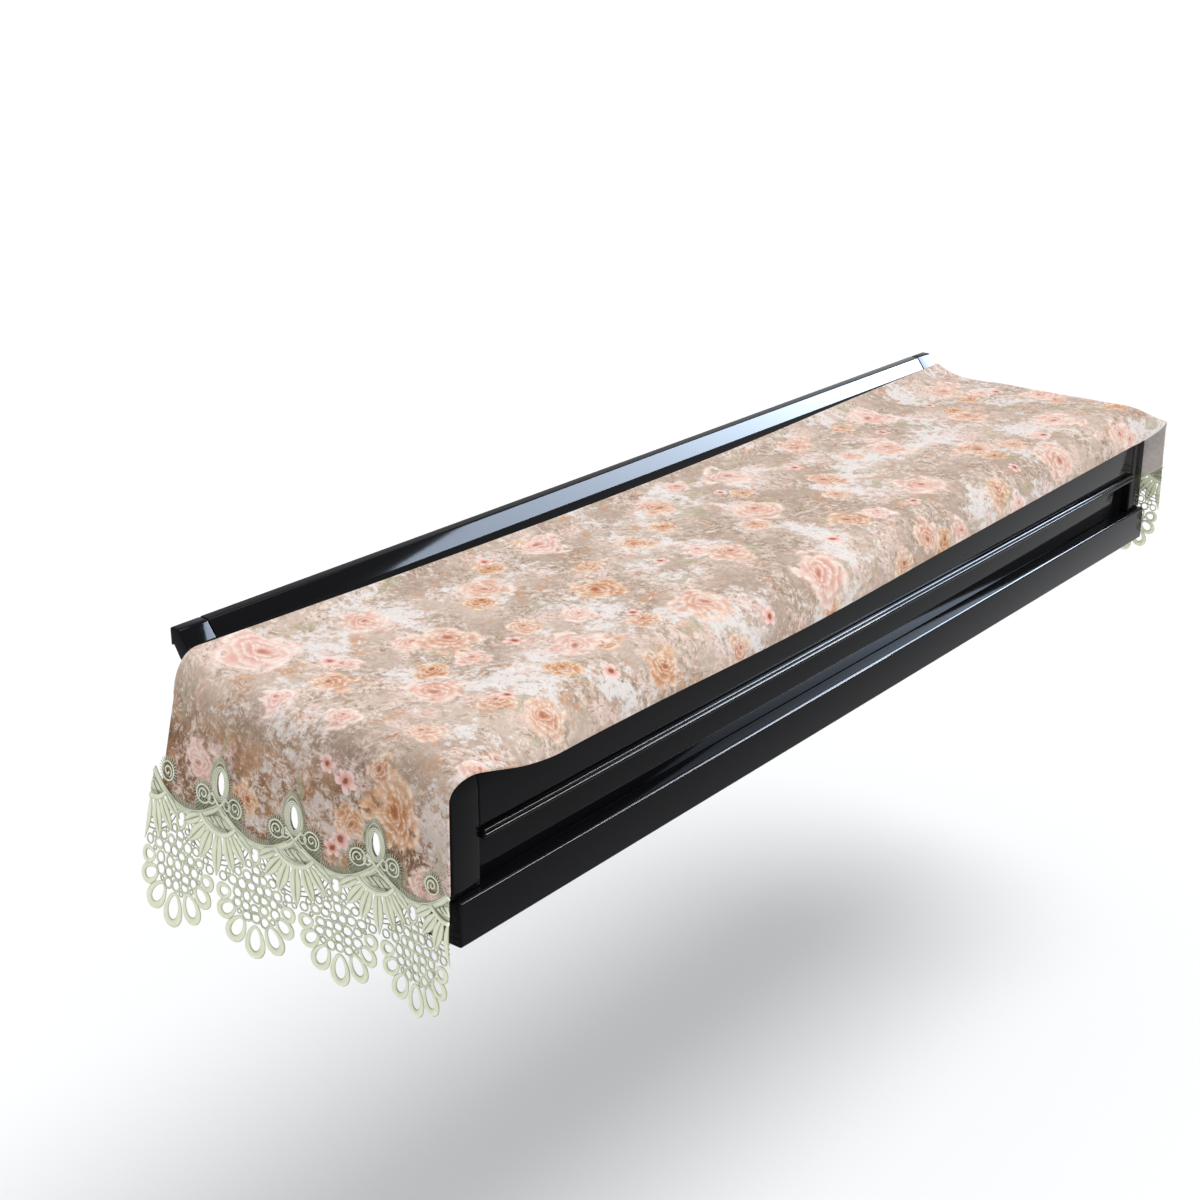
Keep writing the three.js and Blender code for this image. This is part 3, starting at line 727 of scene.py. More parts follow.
def rosette(lace, across, hand):
    """A scroll of cord with a curl inside it and spiky picots round it."""
    lace.ring(across, ROSETTE_DOWN, ROSETTE_RADIUS, ROSETTE_RADIUS, 1.2, 1.0, 26, tone=0.85)
    share = np.linspace(0, 1, 24)
    turn = hand * (CURL_START + CURL_TURN * share)
    curl = polar(across, ROSETTE_DOWN, turn, CURL_RADIUS * (1 - CURL_CLOSING * share))
    lace.cord(curl, 1.1, 1.0, tone=0.9)
    for turns, (inner, outer), look in (
        (ROSETTE_BARS, ROSETTE_BAR, (0.45, 0.4, 0.45)),
        (ROSETTE_PICOTS, ROSETTE_PICOT, (0.6, 0.7, 0.95)),
    ):
        for degrees in turns:
            root = polar(across, ROSETTE_DOWN, degrees, ROSETTE_RADIUS + inner)
            tip = polar(across, ROSETTE_DOWN, degrees, ROSETTE_RADIUS + outer)
            lace.spike(root, tip, *look)


def net_fill(lace, axis):
    """Slanted threads that fill the ground between eyelets, scrolls and band."""
    down = np.linspace(-22, 22, 45)
    for slant in (-1, 1):
        for start in np.arange(-58, 59, THREAD_SPACING):
            across = start + slant * (down + 8)
            arch = -17 + 0.016 * across ** 2
            above = swag_down(axis + across) - 1
            keep = (down > arch) & (down < above) & (np.abs(across) < THREADS_HALF_WIDTH)
            keep &= np.hypot(across / 6.5, (down - EYELET_DOWN) / 14) > 1
            for offset, middle in SIDE_EYELETS:
                keep &= np.hypot(across - offset, down - middle) > 3.8
            runs = np.flatnonzero(np.diff(np.concatenate([[0], keep, [0]])))
            for first, last in zip(runs[::2], runs[1::2]):
                if last - first > 2:
                    ends = np.linspace(first, last - 1, 4).astype(int)
                    path = np.stack([axis + across[ends], down[ends]], -1)
                    lace.cord(path, 0.55, 0.4, sides=4, tone=0.6)


def fan(lace, axis, hands):
    """The lens and crescent below a cusp, with leaf petals and fine arcs between them."""
    for hand in hands:
        degrees = hand * np.linspace(0, CRESCENT_TURN, 17)
        taper = np.cos(np.radians(degrees) * 0.8)
        lace.cord(polar(axis, CRESCENT_DOWN, degrees, CRESCENT_RADIUS), 2.8 * taper, 1.5,
                  sides=8, tone=1.0)
        for radius in LENS_ARCS:
            path = polar(axis, CRESCENT_DOWN, hand * np.linspace(0, LENS_ARC_TURN, 25), radius)
            path = path[path[:, 1] > swag_down(path[:, 0]) + 1]
            lace.cord(path, 1.9, 0.5, tone=0.5)
        share = np.linspace(0, 1, 12)
        lens = np.stack([axis + hand * 15 * share, 14.5 + 1.5 * share], -1)
        lace.cord(lens, 0.4 + 5.8 * (1 - share ** 2), 1.0, sides=8, tone=0.8)
        for radius in FAN_ARCS:
            path = polar(axis, FAN_DOWN, hand * np.linspace(0, FAN_ARC_TURN, 19), radius)
            lace.cord(path, 0.75, 0.5, sides=4, tone=0.35)
    for across, down in LENS_STITCHES:
        middle = np.array([axis + across, down])
        lace.cord([middle - 3, middle, middle + (3.4, 2.6)], 0.45, 1.35, sides=4, tone=0.05)
    for root, tip, half_width in FAN_PETALS:
        for hand in hands if root[0] else hands[:1]:
            petal(lace, axis, hand, root, tip, half_width)


def petal(lace, axis, hand, root, tip, half_width):
    """A leaf in two halves that meet along its midrib."""
    share = np.linspace(0, 1, 13)
    width = half_width * (0.35 + 0.65 * np.sin(math.pi * share ** 0.9)) * (1 - share ** 6)
    run = np.subtract(tip, root) * (hand, 1)
    spine = np.array([axis + hand * root[0], root[1]]) + share[:, None] * run
    sideways = np.array([-run[1], run[0]]) / np.linalg.norm(run)
    rise = 0.5 + 0.9 * np.sin(math.pi * share ** 0.8)
    for half in (-0.52, 0.52):
        path = spine + half * width[:, None] * sideways
        lace.cord(path, 0.5 * width + 0.12, rise, sides=8, tone=0.95)


def scallop(lace, axis):
    """The drop ring under a swag, the net of rings, and the loops along the edge."""
    half_width, half_height = DROP_HOLE_HALF
    lace.ring(axis, DROP_HOLE_DOWN, half_width + 1.8, half_height + 2, 2.0, 1.0, tone=0.8)
    for down, count in NET_ROWS:
        for index in range(count):
            stray = lace.chance.uniform(-NET_STRAY, NET_STRAY, 2)
            size = NET_RADIUS * lace.chance.uniform(*NET_SIZES, 2)
            across = axis + (index - (count - 1) / 2) * NET_PITCH + stray[0]
            thread = lace.chance.uniform(*NET_THREADS)
            lace.ring(across, down + stray[1], *size, thread, 0.9, 14, tone=0.75)
    for row in LOOPS:
        loop(lace, axis, *row)


def loop(lace, axis, degrees, reach, half_length, half_width, toe):
    """A pear-shaped loop, thick at its toe."""
    turn = np.arange(LOOP_STEPS) / LOOP_STEPS * 2 * math.pi
    toeward = (1 + np.cos(turn)) / 2
    thread = LOOP_THREAD + (toe / 2 - LOOP_THREAD) * toeward ** 1.5
    long = (half_length + thread) * np.cos(turn)
    wide = (half_width * (0.70 + 0.40 * toeward) + thread * 0.9) * np.sin(turn)
    angle = math.radians(degrees)
    centre = polar(axis, SCALLOP_DOWN, degrees, reach)
    path = np.stack([
        centre[0] + long * math.sin(angle) + wide * math.cos(angle),
        centre[1] + long * math.cos(angle) - wide * math.sin(angle),
    ], -1)
    lace.cord(path, thread, 0.9 + 0.7 * toeward, closed=True, sides=8, tone=1.0)


def band(lace):
    """The smooth band along the swags between two fine cords, with picots over it."""
    for repeat in range(REPEATS):
        share = np.linspace(0, 1, 37)
        across = LACE_START + REPEAT * (repeat + share)
        middle = np.stack([across, 4 * SWAG_SAG * share * (1 - share)], -1)
        slope = np.gradient(middle, axis=0)
        slope /= np.linalg.norm(slope, axis=1, keepdims=True)
        upward = np.stack([slope[:, 1], -slope[:, 0]], -1)
        lace.cord(middle, BAND_HALF_WIDTH, 0.8, sides=8, tone=0.85)
        for offset in BAND_CORDS:
            lace.cord(middle + offset * upward, 0.9, 1.0, tone=0.75)
        for place, way in zip(middle[11:-11], upward[11:-11]):
            root, tip = place + way * BAND_PICOT[0], place + way * BAND_PICOT[1]
            lace.spike(root, tip, 0.7, 0.7, 0.85)


def open_places(axis):
    """Places of one repeat under its band and inside its scallop, for the filling rings."""
    wide, high = np.meshgrid(np.arange(-49, 49.6, FILL_STEP), np.arange(12, 108, FILL_STEP))
    inner = np.sqrt(np.clip(FILL_RADIUS ** 2 - wide ** 2, 0, None))
    within = (high > swag_down(axis + wide) + 6) & (high < SCALLOP_DOWN + inner)
    places = np.stack([axis + wide[within], high[within]], -1)
    return places[(places[:, 0] > LACE_START + 4) & (places[:, 0] < LACE_END - 4)]


def lace_border(side):
    lace = Lace(side)
    band(lace)
    for repeat in range(REPEATS + 1):
        axis = LACE_START + repeat * REPEAT
        hands = [hand for hand, there in ((-1, repeat > 0), (1, repeat < REPEATS)) if there]
        fan(lace, axis, hands)
        for hand in hands:
            rosette(lace, axis + hand * ROSETTE_ACROSS, hand)
        if len(hands) == 2:
            eyelet_motif(lace, axis)
            net_fill(lace, axis)
    middles = [LACE_START + (repeat + 0.5) * REPEAT for repeat in range(REPEATS)]
    for middle in middles:
        scallop(lace, middle)
    for middle in middles:
        lace.fill(open_places(middle))
    return lace.piece("lace_border_" + side)


# Keyboard case

def start_piece(name, add_shape, middle, size):
    bpy.ops.object.select_all(action="DESELECT")
    add_shape(size=1, location=middle)
    piece = bpy.context.object
    piece.name = name
    piece.scale = size
    bpy.ops.object.transform_apply(location=True, rotation=True, scale=True)
    return piece


def start_edit(select_mode):
    bpy.ops.object.mode_set(mode="EDIT")
    bpy.ops.mesh.select_mode(type=select_mode)
    bpy.ops.mesh.select_all(action="DESELECT")
    bpy.ops.object.mode_set(mode="OBJECT")


def apply_modifier(piece, kind, **settings):
    only(piece)
    modifier = piece.modifiers.new(kind.title(), kind)
    for name, value in settings.items():
        setattr(modifier, name, value)
    bpy.ops.object.modifier_apply(modifier=modifier.name)


def finish_board(piece, bevel):
    apply_modifier(piece, "BEVEL", width=bevel * MM, segments=BEVEL_SEGMENTS,
                   limit_method="ANGLE", angle_limit=math.radians(BEVEL_ANGLE),
                   harden_normals=False)
    shade_smooth(piece, BOARD_SHADE_ANGLE)
    return piece


def lid_section(name, node, foot_z, bevel):
    """Hinge ledge, slope, cove, flat top, round nose and front leaf as one bent board."""
    low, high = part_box(node)
    middle_x, width = (low.x + high.x) / 2, high.x - low.x
    ledge = (middle_x, -HINGE_LEDGE_DEPTH / 2 * MM, HINGE_TOP_Z * MM)
    size = (width, HINGE_LEDGE_DEPTH * MM, 1)
    piece = start_piece(name, bpy.ops.mesh.primitive_plane_add, ledge, size)
    start_edit("EDGE")
    front = -HINGE_LEDGE_DEPTH * MM + 1e-5
    for edge in piece.data.edges:
        edge.select = all(piece.data.vertices[i].co.y < front for i in edge.vertices)
    bpy.ops.object.mode_set(mode="EDIT")
    cove_angle = math.asin(COVE_DEPTH / COVE_RADIUS)
    cove_top = LID_TOP_Z + COVE_RADIUS * (1 - math.cos(cove_angle))
    extend(0, CLOTH_BACK_Y + HINGE_LEDGE_DEPTH, cove_top - HINGE_TOP_Z)
    turn_edge(COVE_START_Y, LID_TOP_Z + COVE_RADIUS, -cove_angle)
    extend(0, NOSE_START_Y - COVE_START_Y, 0)
    turn_edge(NOSE_START_Y, LID_TOP_Z - NOSE_RADIUS, math.pi / 2)
    extend(0, 0, foot_z - (LID_TOP_Z - NOSE_RADIUS))
    bpy.ops.object.mode_set(mode="OBJECT")
    turn_outward(piece)
    apply_modifier(piece, "SOLIDIFY", thickness=BOARD * MM, offset=-1)
    return finish_board(piece, bevel)


def extend(x, y, z):
    move = {"value": (x * MM, y * MM, z * MM)}
    bpy.ops.mesh.extrude_region_move(TRANSFORM_OT_translate=move)


def turn_edge(centre_y, centre_z, angle):
    bpy.ops.mesh.spin(steps=ARC_STEPS, angle=-angle, axis=(1, 0, 0),
                      center=(0, centre_y * MM, centre_z * MM))


def plain_board(name, low, high, bevel):
    piece = start_piece(name, bpy.ops.mesh.primitive_cube_add, (low + high) / 2, high - low)
    return finish_board(piece, bevel)


def reeded_bead(name, node):
    """A narrow reed over a broad one, with a groove between them."""
    low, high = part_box(node)
    broad_top = Vector((high.x, high.y, REED_Z * MM))
    narrow_foot = Vector((low.x, low.y, (REED_Z + REED_GROOVE) * MM))
    broad = plain_board(name, low, broad_top, BROAD_REED_BEVEL)
    narrow = plain_board("narrow_reed", narrow_foot, high, NARROW_REED_BEVEL)
    only(broad)
    narrow.select_set(True)
    bpy.ops.object.join()
    return broad


# Shader building

class Value:
    """A shader number: arithmetic on it adds Math nodes."""

    def __init__(self, paint, socket):
        self.paint = paint
        self.socket = socket

    def math(self, operation, *others):
        settings = {"operation": operation}
        return self.paint.add("Math", settings, dict(enumerate((self, *others))))

    def __add__(self, other):
        return self.math("ADD", other)

    def __sub__(self, other):
        return self.math("SUBTRACT", other)

    def __rsub__(self, other):
        return (self * -1).math("ADD", other)

    def __mul__(self, other):
        return self.math("MULTIPLY", other)

    __radd__ = __add__
    __rmul__ = __mul__

    def __truediv__(self, other):
        return self.math("DIVIDE", other)

    def __pow__(self, other):
        return self.math("POWER", other)

    def __abs__(self):
        return self.math("ABSOLUTE")

    def sin(self):
        return self.math("SINE")

    def fraction(self):
        return self.math("FRACT")

    def clamp(self):
        return self.math("MINIMUM", 1).math("MAXIMUM", 0)

    def rise(self, low, high):
        """Smoothly 0 to 1 as the value goes from low to high."""
        sockets = {"Value": self, "From Min": low, "From Max": high}
        settings = {"interpolation_type": "SMOOTHSTEP"}
        return self.paint.add("MapRange", settings, sockets)


class Paint:
    """A material under construction."""

    def __init__(self, name):
        self.material = bpy.data.materials.new(name)
        self.material.use_nodes = True
        self.nodes = self.material.node_tree.nodes
        self.links = self.material.node_tree.links
        self.shader = self.nodes["Principled BSDF"]

    def feed(self, socket, value):
        if isinstance(value, Value):
            self.links.new(value.socket, socket)
        elif isinstance(value, (tuple, list)) and len(value) == 3 and socket.type == "RGBA":
            socket.default_value = (*value, 1)
        else:
            socket.default_value = value

    def add(self, kind, settings, sockets, output=0):
        """Any node: its settings first, then its sockets."""
        node = self.nodes.new("ShaderNode" + kind)
        for name, value in settings.items():
            setattr(node, name, value)
        for name, value in sockets.items():
            self.feed(node.inputs[name], value)
        return Value(self, node.outputs[output])

    def blend(self, share, first, second):
        sockets = {0: share, 6: first, 7: second}
        settings = {"data_type": "RGBA", "clamp_factor": True}
        return self.add("Mix", settings, sockets, output=2)

    def noise(self, place, scale, detail=3.0, roughness=0.5, output=0):
        sockets = {"Vector": place, "Scale": scale, "Detail": detail, "Roughness": roughness}
        return self.add("TexNoise", {"noise_dimensions": "2D"}, sockets, output)

    def solid_noise(self, scale, detail):
        """Noise through the piece's own space."""
        place = self.add("TexCoord", {}, {}, output=3)
        return self.add("TexNoise", {}, {"Vector": place, "Scale": scale, "Detail": detail})

    def vector(self, operation, *values):
        return self.add("VectorMath", {"operation": operation}, dict(enumerate(values)))

    def scaled(self, place, factor):
        return self.add("VectorMath", {"operation": "SCALE"}, {0: place, "Scale": factor})

    def parts(self, place):
        node = self.nodes.new("ShaderNodeSeparateXYZ")
        self.feed(node.inputs[0], place)
        return [Value(self, output) for output in node.outputs]

    def joined(self, x, y):
        return self.add("CombineXYZ", {}, {"X": x, "Y": y})

    def surface_map(self, name):
        return self.add("UVMap", {"uv_map": name}, {})

    def attribute(self, name):
        return self.add("Attribute", {"attribute_name": name}, {}, output=2)

    def pushed(self, spot, place, scale, amount, detail=2.0):
        """A spot shifted as by a loose brush that wanders from place to place."""
        wander = self.noise(place, scale, detail, output=1)
        centred = self.vector("SUBTRACT", wander, (0.5, 0.5, 0.5))
        return self.vector("ADD", spot, self.scaled(centred, amount))

    def bump(self, height, distance, strength=1.0):
        sockets = {"Strength": strength, "Distance": distance, "Height": height}
        self.feed(self.shader.inputs["Normal"], self.add("Bump", {}, sockets))

    def set(self, values):
        for name, value in values.items():
            self.feed(self.shader.inputs[name], value)

    def dress(self, *pieces):
        for piece in pieces:
            piece.data.materials.clear()
            piece.data.materials.append(self.material)


# Finishes

# Colours of the print
CREAM = (0.91, 0.83, 0.73)
IVORY = (0.88, 0.79, 0.70)
SAND = (0.76, 0.63, 0.53)
BLUSH = (0.84, 0.62, 0.56)
RUST = (0.56, 0.27, 0.13)
EARTH = (0.30, 0.195, 0.125)
SEPIA = (0.19, 0.125, 0.08)
DEEP_AMBER = (0.28, 0.10, 0.03)
PALE_THREAD = (0.90, 0.82, 0.74)
DARK_THREAD = (0.24, 0.15, 0.09)
BLOSSOM_HEART = (0.30, 0.11, 0.05)
UNDERSIDE = (0.80, 0.76, 0.72)
# Pairs: on the lid, and on the hanging ends, darker and browner there as painted shade
UMBER = ((0.44, 0.33, 0.26), (0.19, 0.085, 0.032))
BEIGE = ((0.62, 0.49, 0.405), (0.48, 0.27, 0.135))
FROST = ((0.83, 0.79, 0.775), (0.78, 0.70, 0.65))
# Pairs: in a pink rose, and in an orange one
PALE_PETAL = ((0.94, 0.82, 0.78), (0.86, 0.58, 0.35))
WARM_PETAL = ((0.72, 0.36, 0.29), (0.42, 0.12, 0.02))
# Pairs: in shade, and in light
LEAF = ((0.26, 0.23, 0.12), (0.60, 0.55, 0.37))
BLOSSOM = ((0.70, 0.30, 0.25), (0.90, 0.64, 0.58))
LACE_TONES = ((0.15, 0.16, 0.08), (0.92, 0.95, 0.70))
# Bare lacquer, and lacquer under dust
LACQUER_TONES = ((0.005, 0.005, 0.006), (0.02, 0.02, 0.022))

WEAVE_PITCH = 1.1
SATIN_PITCH = 0.8
STROKE_ANGLES = (25, -65)
# Layers of a rose from its rim inward: reach, petals, turn, shift of its middle, next layer's rim
ROSE_LAYERS = [
    (1.00, 4, 0.10, 0.00, 0.60),
    (0.70, 4, 0.55, 0.05, 0.58),
    (0.46, 3, 0.20, 0.10, 0.52),
    (0.27, 3, 0.75, 0.13, 0.40),
]


def round_middle(x, y):
    """Distance from a flower's middle, and the way round it as a share of a full turn."""
    return (x * x + y * y).math("SQRT"), y.math("ARCTAN2", x) / (2 * math.pi)


def rose(paint, place, spot, turned, tint, there, ground):
    """A loosely painted rose, broken at its rim: each layer warm where the next one shades it."""
    own = paint.vector("ADD", spot, paint.joined(tint * 57, tint * 31))
    spot = paint.pushed(spot, own, 0.9, 0.6, 1.0)
    spot = paint.pushed(spot, place, 170.0, 0.07, 1.0)
    x, y = paint.parts(spot)[:2]
    spokes = paint.scaled(paint.vector("NORMALIZE", spot), 4.0)
    streak = paint.noise(paint.vector("ADD", spokes, paint.scaled(place, 30.0)), 1.0, 2.0)
    whole = paint.noise(place, 70.0, 3.0).rise(0.36, 0.50)
    pale = paint.blend(tint, *PALE_PETAL)
    warm = paint.blend(tint, *WARM_PETAL)
    colour = ground
    for reach, petals, turn, shift, shaded in ROSE_LAYERS:
        radius, angle = round_middle(x - shift, y + shift)
        lobe = ((angle + turned) * petals + turn).fraction() * 2 - 1
        hollow = abs(lobe) ** 3
        share = radius / ((1 - hollow * 0.26) * reach)
        inside = (1 - share.rise(0.86, 1.06)) * there
        if colour is ground:
            inside = inside * whole
            covered = inside
        depth = share.rise(shaded - 0.08, 0.96) - hollow * 0.25 + (streak - 0.5) * 0.65
        shade = paint.blend(1 - 0.2 * reach, pale, warm)
        lip = paint.blend((1 - reach) * 0.5, pale, warm)
        petal_colour = paint.blend(depth.clamp(), shade, lip)
        lit = share.rise(shaded + 0.10, 0.94) * streak.rise(0.42, 0.62) * (0.5 + 0.4 * reach)
        petal_colour = paint.blend(lit, petal_colour, CREAM)
        rim = share.rise(0.84, 0.94) * 0.3
        outline = rim.math("MAXIMUM", hollow.rise(0.80, 0.97) * 0.4)
        petal_colour = paint.blend(outline, petal_colour, warm)
        colour = paint.blend(inside, colour, petal_colour)
    dab = paint.noise(paint.vector("ADD", place, (7.7, 3.1, 0)), 62.0, 3.0)
    colour = paint.blend(covered * dab.rise(0.54, 0.66) * 0.25, colour, warm)
    colour = paint.blend(covered * (1 - dab.rise(0.36, 0.46)) * 0.25, colour, CREAM)
    heart = (1 - radius.rise(0.03, 0.14)) * there * 0.55
    return paint.blend(heart, colour, DEEP_AMBER)


def scatter(paint, place, scale, size):
    """Places round scattered spots, in each spot's own measure, and the spot's chances."""
    sockets = {"Vector": place, "Scale": scale, "Randomness": 0.7}
    settings = {"voronoi_dimensions": "2D"}
    middle = paint.add("TexVoronoi", settings, sockets, output=2)
    chances = paint.parts(paint.add("TexVoronoi", settings, sockets, output=1))
    return paint.scaled(paint.vector("SUBTRACT", place, middle), 1 / size), chances


def blossoms(paint, place, ground):
    """Small five-petalled blossoms between the roses."""
    spot = paint.surface_map("blossom_place")
    x, y = paint.parts(paint.pushed(spot, place, 90.0, 0.5))[:2]
    radius, angle = round_middle(x, y)
    edge = 1 - abs((angle * 5).fraction() * 2 - 1) ** 2.2 * 0.5
    there = 1 - (radius / edge).rise(0.90, 1.06)
    petal_colour = paint.blend(radius.rise(0.2, 0.8), *BLOSSOM)
    petal_colour = paint.blend(1 - radius.rise(0.18, 0.32), petal_colour, BLOSSOM_HEART)
    return paint.blend(there, ground, petal_colour)


def leaves(paint, place, ground):
    """Olive leaves, half lost in the ground."""
    spot, chances = scatter(paint, place, 14.0, 0.022)
    x, y = paint.parts(paint.pushed(spot, place, 40.0, 1.2, 0.0))[:2]
    edge = 0.34 - x * x * 0.34
    there = (edge - abs(y)).rise(0.0, 0.08) * chances[2].rise(0.55, 0.57) * 0.6
    return paint.blend(there, ground, paint.blend(paint.noise(place, 120.0), *LEAF))


def strokes(paint, place, degrees, scale):
    """Short brush strokes that lie roughly one way."""
    x, y = paint.parts(paint.pushed(place, place, 48.0, 0.016))[:2]
    turn = math.radians(degrees)
    along = x * math.cos(turn) + y * math.sin(turn)
    over = y * math.cos(turn) - x * math.sin(turn)
    return paint.noise(paint.joined(along * 0.55, over), scale, 4.0, 0.66)


def brushwork(paint, place, scale):
    """Strokes that lie one way in some areas and another way in the rest."""
    first, second = (strokes(paint, place, degrees, scale) for degrees in STROKE_ANGLES)
    return first + (second - first) * paint.noise(place, 38.0, 2.0).rise(0.42, 0.58)


def painted_ground(paint, place, fine):
    """Beige ground with cream, umber, rust and pink brushwork and feathery white patches, darker
    on the hanging ends as painted shade.
    """
    loose = paint.pushed(place, place, 9.0, 0.05, 3.0)
    apart = paint.vector("ADD", place, (2.3, 5.1, 0))
    broad = brushwork(paint, apart, 115.0)
    busy = 0.25 + paint.noise(apart, 20.0, 2.0).rise(0.42, 0.56) * 0.75
    # Painted shade: ends marks the hanging ends, whose umber, beige and white patches are painted
    # darker
    ends = abs(paint.parts(place)[0]).rise(0.74, 0.84)
    wash = paint.noise(loose, 8.0, 6.0, 0.68).rise(0.32, 0.68)
    colour = paint.blend(wash, paint.blend(ends, *UMBER), paint.blend(ends, *BEIGE))
    colour = paint.blend(broad.rise(0.50, 0.62) * busy * 0.75, colour, SAND)
    colour = paint.blend((1 - broad.rise(0.36, 0.47)) * busy * 0.6, colour, EARTH)
    rust = paint.noise(apart, 24.0, 5.0, 0.7).rise(0.55, 0.66) * broad.rise(0.36, 0.56)
    colour = paint.blend(rust * 0.7, colour, RUST)
    pink = paint.noise(loose, 17.0, 5.0, 0.7).rise(0.51, 0.64) * fine.rise(0.34, 0.56)
    colour = paint.blend(pink * 0.75, colour, BLUSH)
    frost = paint.noise(apart, 75.0, 6.0, 0.80)
    patch = (paint.noise(loose, 9.0, 5.0, 0.65) + (frost - 0.5) * 0.7).rise(0.52, 0.64)
    colour = paint.blend(patch * (0.78 - ends * 0.12), colour, paint.blend(ends, *FROST))
    colour = paint.blend(fine.rise(0.53, 0.66) * busy * 0.5, colour, IVORY)
    return paint.blend((1 - fine.rise(0.32, 0.44)) * busy * 0.45, colour, SEPIA)


def printed_cloth():
    paint = Paint("printed_cloth")
    place = paint.surface_map("flat_cloth")
    fine = brushwork(paint, place, 270.0)
    colour = painted_ground(paint, place, fine)
    colour = leaves(paint, place, colour)
    spot, chances = scatter(paint, paint.vector("ADD", place, (4.0, 1.0, 0)), 12.0, 0.022)
    there = chances[1].rise(0.52, 0.54)
    colour = rose(paint, place, spot, chances[2], chances[0], there, colour)
    colour = blossoms(paint, place, colour)
    own_place = paint.surface_map("rose_place")
    colour = rose(paint, place, own_place, 0.0, paint.attribute("rose_tint"), 1.0, colour)
    colour = paint.blend(fine.rise(0.58, 0.70) * 0.25, colour, PALE_THREAD)
    colour = paint.blend((1 - fine.rise(0.28, 0.38)) * 0.3, colour, DARK_THREAD)
    colour = paint.blend(paint.attribute("underside") * 0.75, colour, UNDERSIDE)
    speckle = paint.noise(place, 420.0, 2.0, 0.6)
    weave_x, weave_y = paint.parts(paint.scaled(place, 2 * math.pi / (WEAVE_PITCH * MM)))[:2]
    weave = weave_x.sin() * weave_y.sin()
    paint.bump(weave * 0.5 + speckle, 0.00025)
    paint.set({"Base Color": colour, "Roughness": 0.82 + weave * 0.04, "Specular IOR Level": 0.0,
               "Sheen Weight": 0.15, "Sheen Roughness": 0.5})
    return paint


def lace_thread():
    paint = Paint("lace_thread")
    u, v = paint.parts(paint.surface_map("stitch"))[:2]
    satin = ((u * (1 / (SATIN_PITCH * MM)) + v * 1.5) * (2 * math.pi)).sin()
    mottle = paint.solid_noise(60.0, 3.0)
    # Painted shade: the tone attribute moves the lace between its shaded and lit colours
    share = paint.attribute("tone") + (mottle - 0.5) * 0.45 + satin * 0.05
    colour = paint.blend(share.rise(0.02, 0.90), *LACE_TONES)
    paint.bump(satin, 0.0002, 0.7)
    paint.set({"Base Color": colour, "Roughness": 0.72 + satin * 0.06, "Specular IOR Level": 0.2,
               "Subsurface Weight": 0.35, "Subsurface Radius": (1, 1, 0.8),
               "Subsurface Scale": 0.004, "Sheen Weight": 0.2})
    return paint


def black_lacquer():
    paint = Paint("black_lacquer")
    film = paint.solid_noise(7.0, 4.0)
    dust = paint.solid_noise(320.0, 2.0)
    colour = paint.blend(dust.rise(0.66, 0.80) * 0.3, *LACQUER_TONES)
    paint.bump(film, 0.0004, 0.03)
    paint.set({"Base Color": colour, "Roughness": 0.04 + film * 0.05, "Specular IOR Level": 0.06})
    return paint


# The object

cloth = cloth_sheet()
laces = {side: lace_border(side) for side in ("left", "right")}
lid = lid_section("lid_board", "key_lid", LID_FOOT_Z, LID_BEVEL)
cheeks = {
    side: lid_section("cheek_board_" + side, "cheek_" + side, CHEEK_FOOT_Z, CHEEK_BEVEL)
    for side in ("left", "right")
}
bead = reeded_bead("lid_moulding", "lid_bead")
slip = plain_board("slip_board", *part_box("key_slip"), SLIP_BEVEL)
rail = plain_board("front_rail", *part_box("bed_rail"), RAIL_BEVEL)

printed_cloth().dress(cloth)
lace_thread().dress(*laces.values())
black_lacquer().dress(lid, *cheeks.values(), bead, slip, rail)

for piece, node, slot in [
    (cloth, "cover_cloth", "printed_cloth"),
    (laces["left"], "lace_left", "lace_thread"),
    (laces["right"], "lace_right", "lace_thread"),
    (lid, "key_lid", "black_lacquer"),
    (cheeks["left"], "cheek_left", "black_lacquer"),
    (cheeks["right"], "cheek_right", "black_lacquer"),
    (bead, "lid_bead", "black_lacquer"),
    (slip, "key_slip", "black_lacquer"),
    (rail, "bed_rail", "black_lacquer"),
]:
    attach(piece, "root")
    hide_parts(node)

# Stage

FLOOR_Z = -0.80
FLOOR_SIZE = 60
CAMERA_PLACE = (-1.8465, -1.4231, 0.7113)
CAMERA_YAW = 0.898
CAMERA_PITCH = 0.3627
CAMERA_LENS = 57.51
CAMERA_SENSOR = 36
CAMERA_REACH = 200
SUN_PLACE = (0.8, -0.9, 3)
SUN_TARGET = (0, -0.2, 0)
SUN_ENERGY = 1.95
SUN_SPREAD = 40
SKY_COLOUR = (0.95, 0.97, 1.0)
SKY_STRENGTH = 0.72
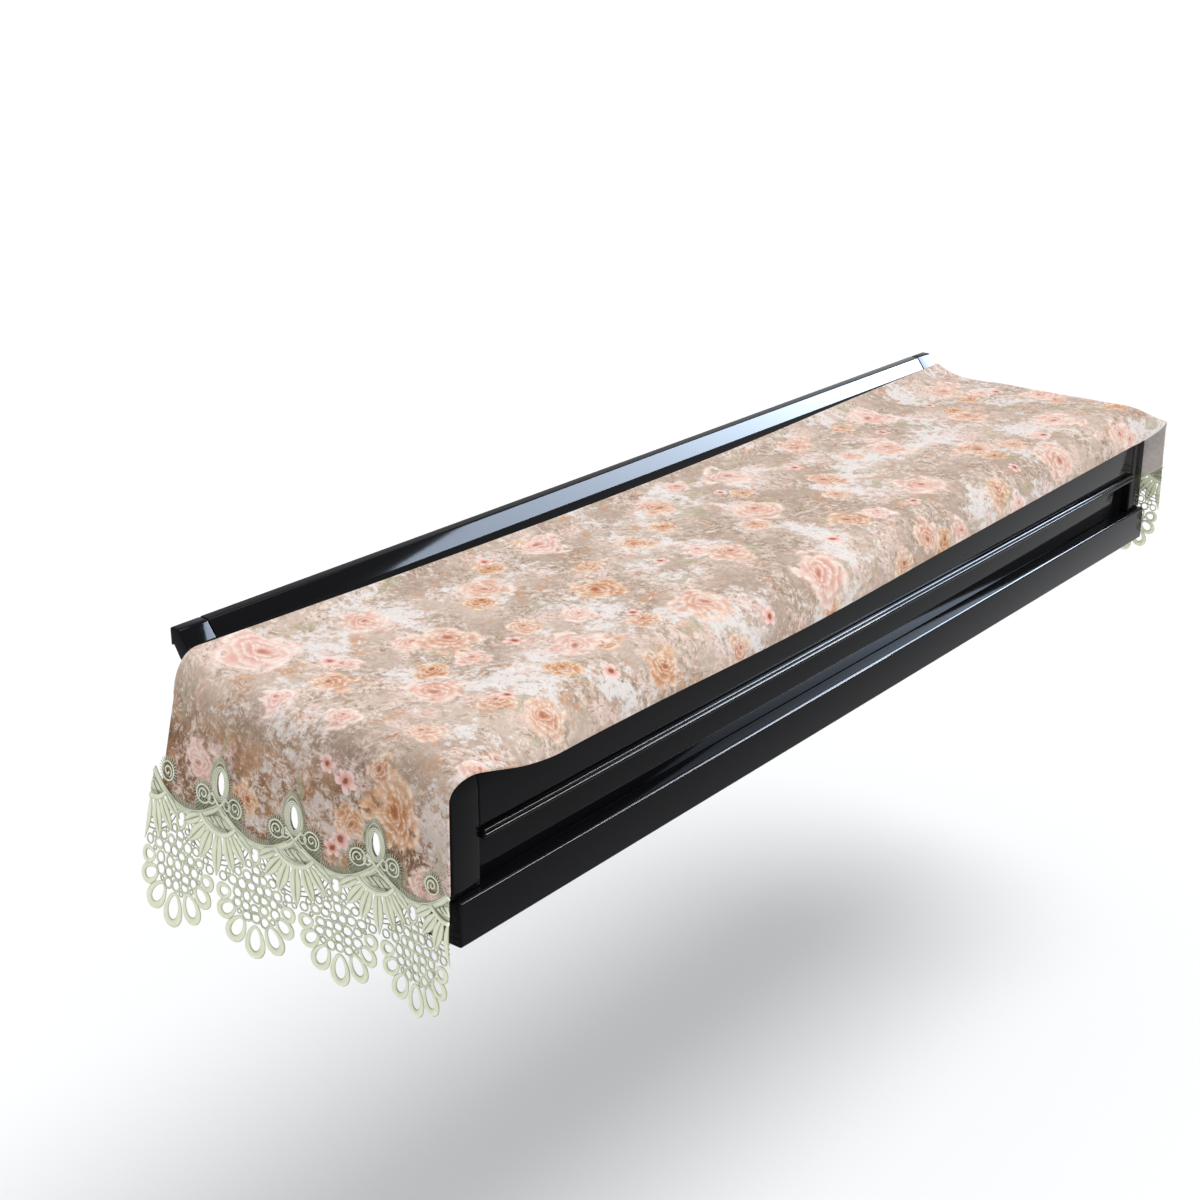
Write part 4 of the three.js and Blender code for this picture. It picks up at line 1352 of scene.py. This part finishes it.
# Lamps seen only in the lacquer's reflections: place, target, energy, width, height, colour
GLEAMS = {
    "slope_gleam": ((2.41, -1.31, 1.40), (0.12, -0.02, 0), 700, 2.4, 1.5, (0.68, 0.81, 1.0)),
    "edge_gleam": ((1.45, -2.1, 0.5), (1.45, -0.37, -0.1), 340, 2.2, 0.35, (1, 1, 1)),
}


def floor():
    bpy.ops.object.select_all(action="DESELECT")
    bpy.ops.mesh.primitive_plane_add(size=FLOOR_SIZE, location=(0, 0, FLOOR_Z))
    paint = Paint("pale_floor")
    cloud = paint.solid_noise(0.6, 3.0)
    colour = paint.blend(cloud, (0.81, 0.81, 0.81), (0.825, 0.825, 0.825))
    paint.set({"Base Color": colour, "Roughness": 0.8, "Specular IOR Level": 0.0})
    plane = bpy.context.object
    plane.name = "floor"
    paint.dress(plane)


def light(name, kind, place, target, energy, **settings):
    lamp = bpy.data.lights.new(name, kind)
    lamp.energy = energy
    for setting, value in settings.items():
        setattr(lamp, setting, value)
    holder = link_object(name, lamp)
    holder.location = place
    way = Vector(target) - Vector(place)
    holder.rotation_euler = way.to_track_quat("-Z", "Y").to_euler()
    return holder


def camera():
    view = bpy.data.cameras.new("camera")
    view.lens = CAMERA_LENS
    view.sensor_width = CAMERA_SENSOR
    view.clip_end = CAMERA_REACH
    holder = link_object("camera", view)
    holder.location = CAMERA_PLACE
    holder.rotation_euler = (math.pi / 2 - CAMERA_PITCH, 0, -CAMERA_YAW)
    bpy.context.scene.camera = holder


def sky():
    scene = bpy.context.scene
    scene.world = scene.world or bpy.data.worlds.new("world")
    scene.world.use_nodes = True
    background = scene.world.node_tree.nodes["Background"].inputs
    background["Color"].default_value = (*SKY_COLOUR, 1)
    background["Strength"].default_value = SKY_STRENGTH
    scene.view_settings.view_transform = "Standard"


floor()
light("sky_sun", "SUN", SUN_PLACE, SUN_TARGET, SUN_ENERGY, angle=math.radians(SUN_SPREAD))
for name, (place, target, energy, width, height, colour) in GLEAMS.items():
    gleam = light(name, "AREA", place, target, energy, shape="RECTANGLE",
                  size=width, size_y=height, color=colour)
    gleam.visible_diffuse = False
    gleam.visible_camera = False
sky()
camera()
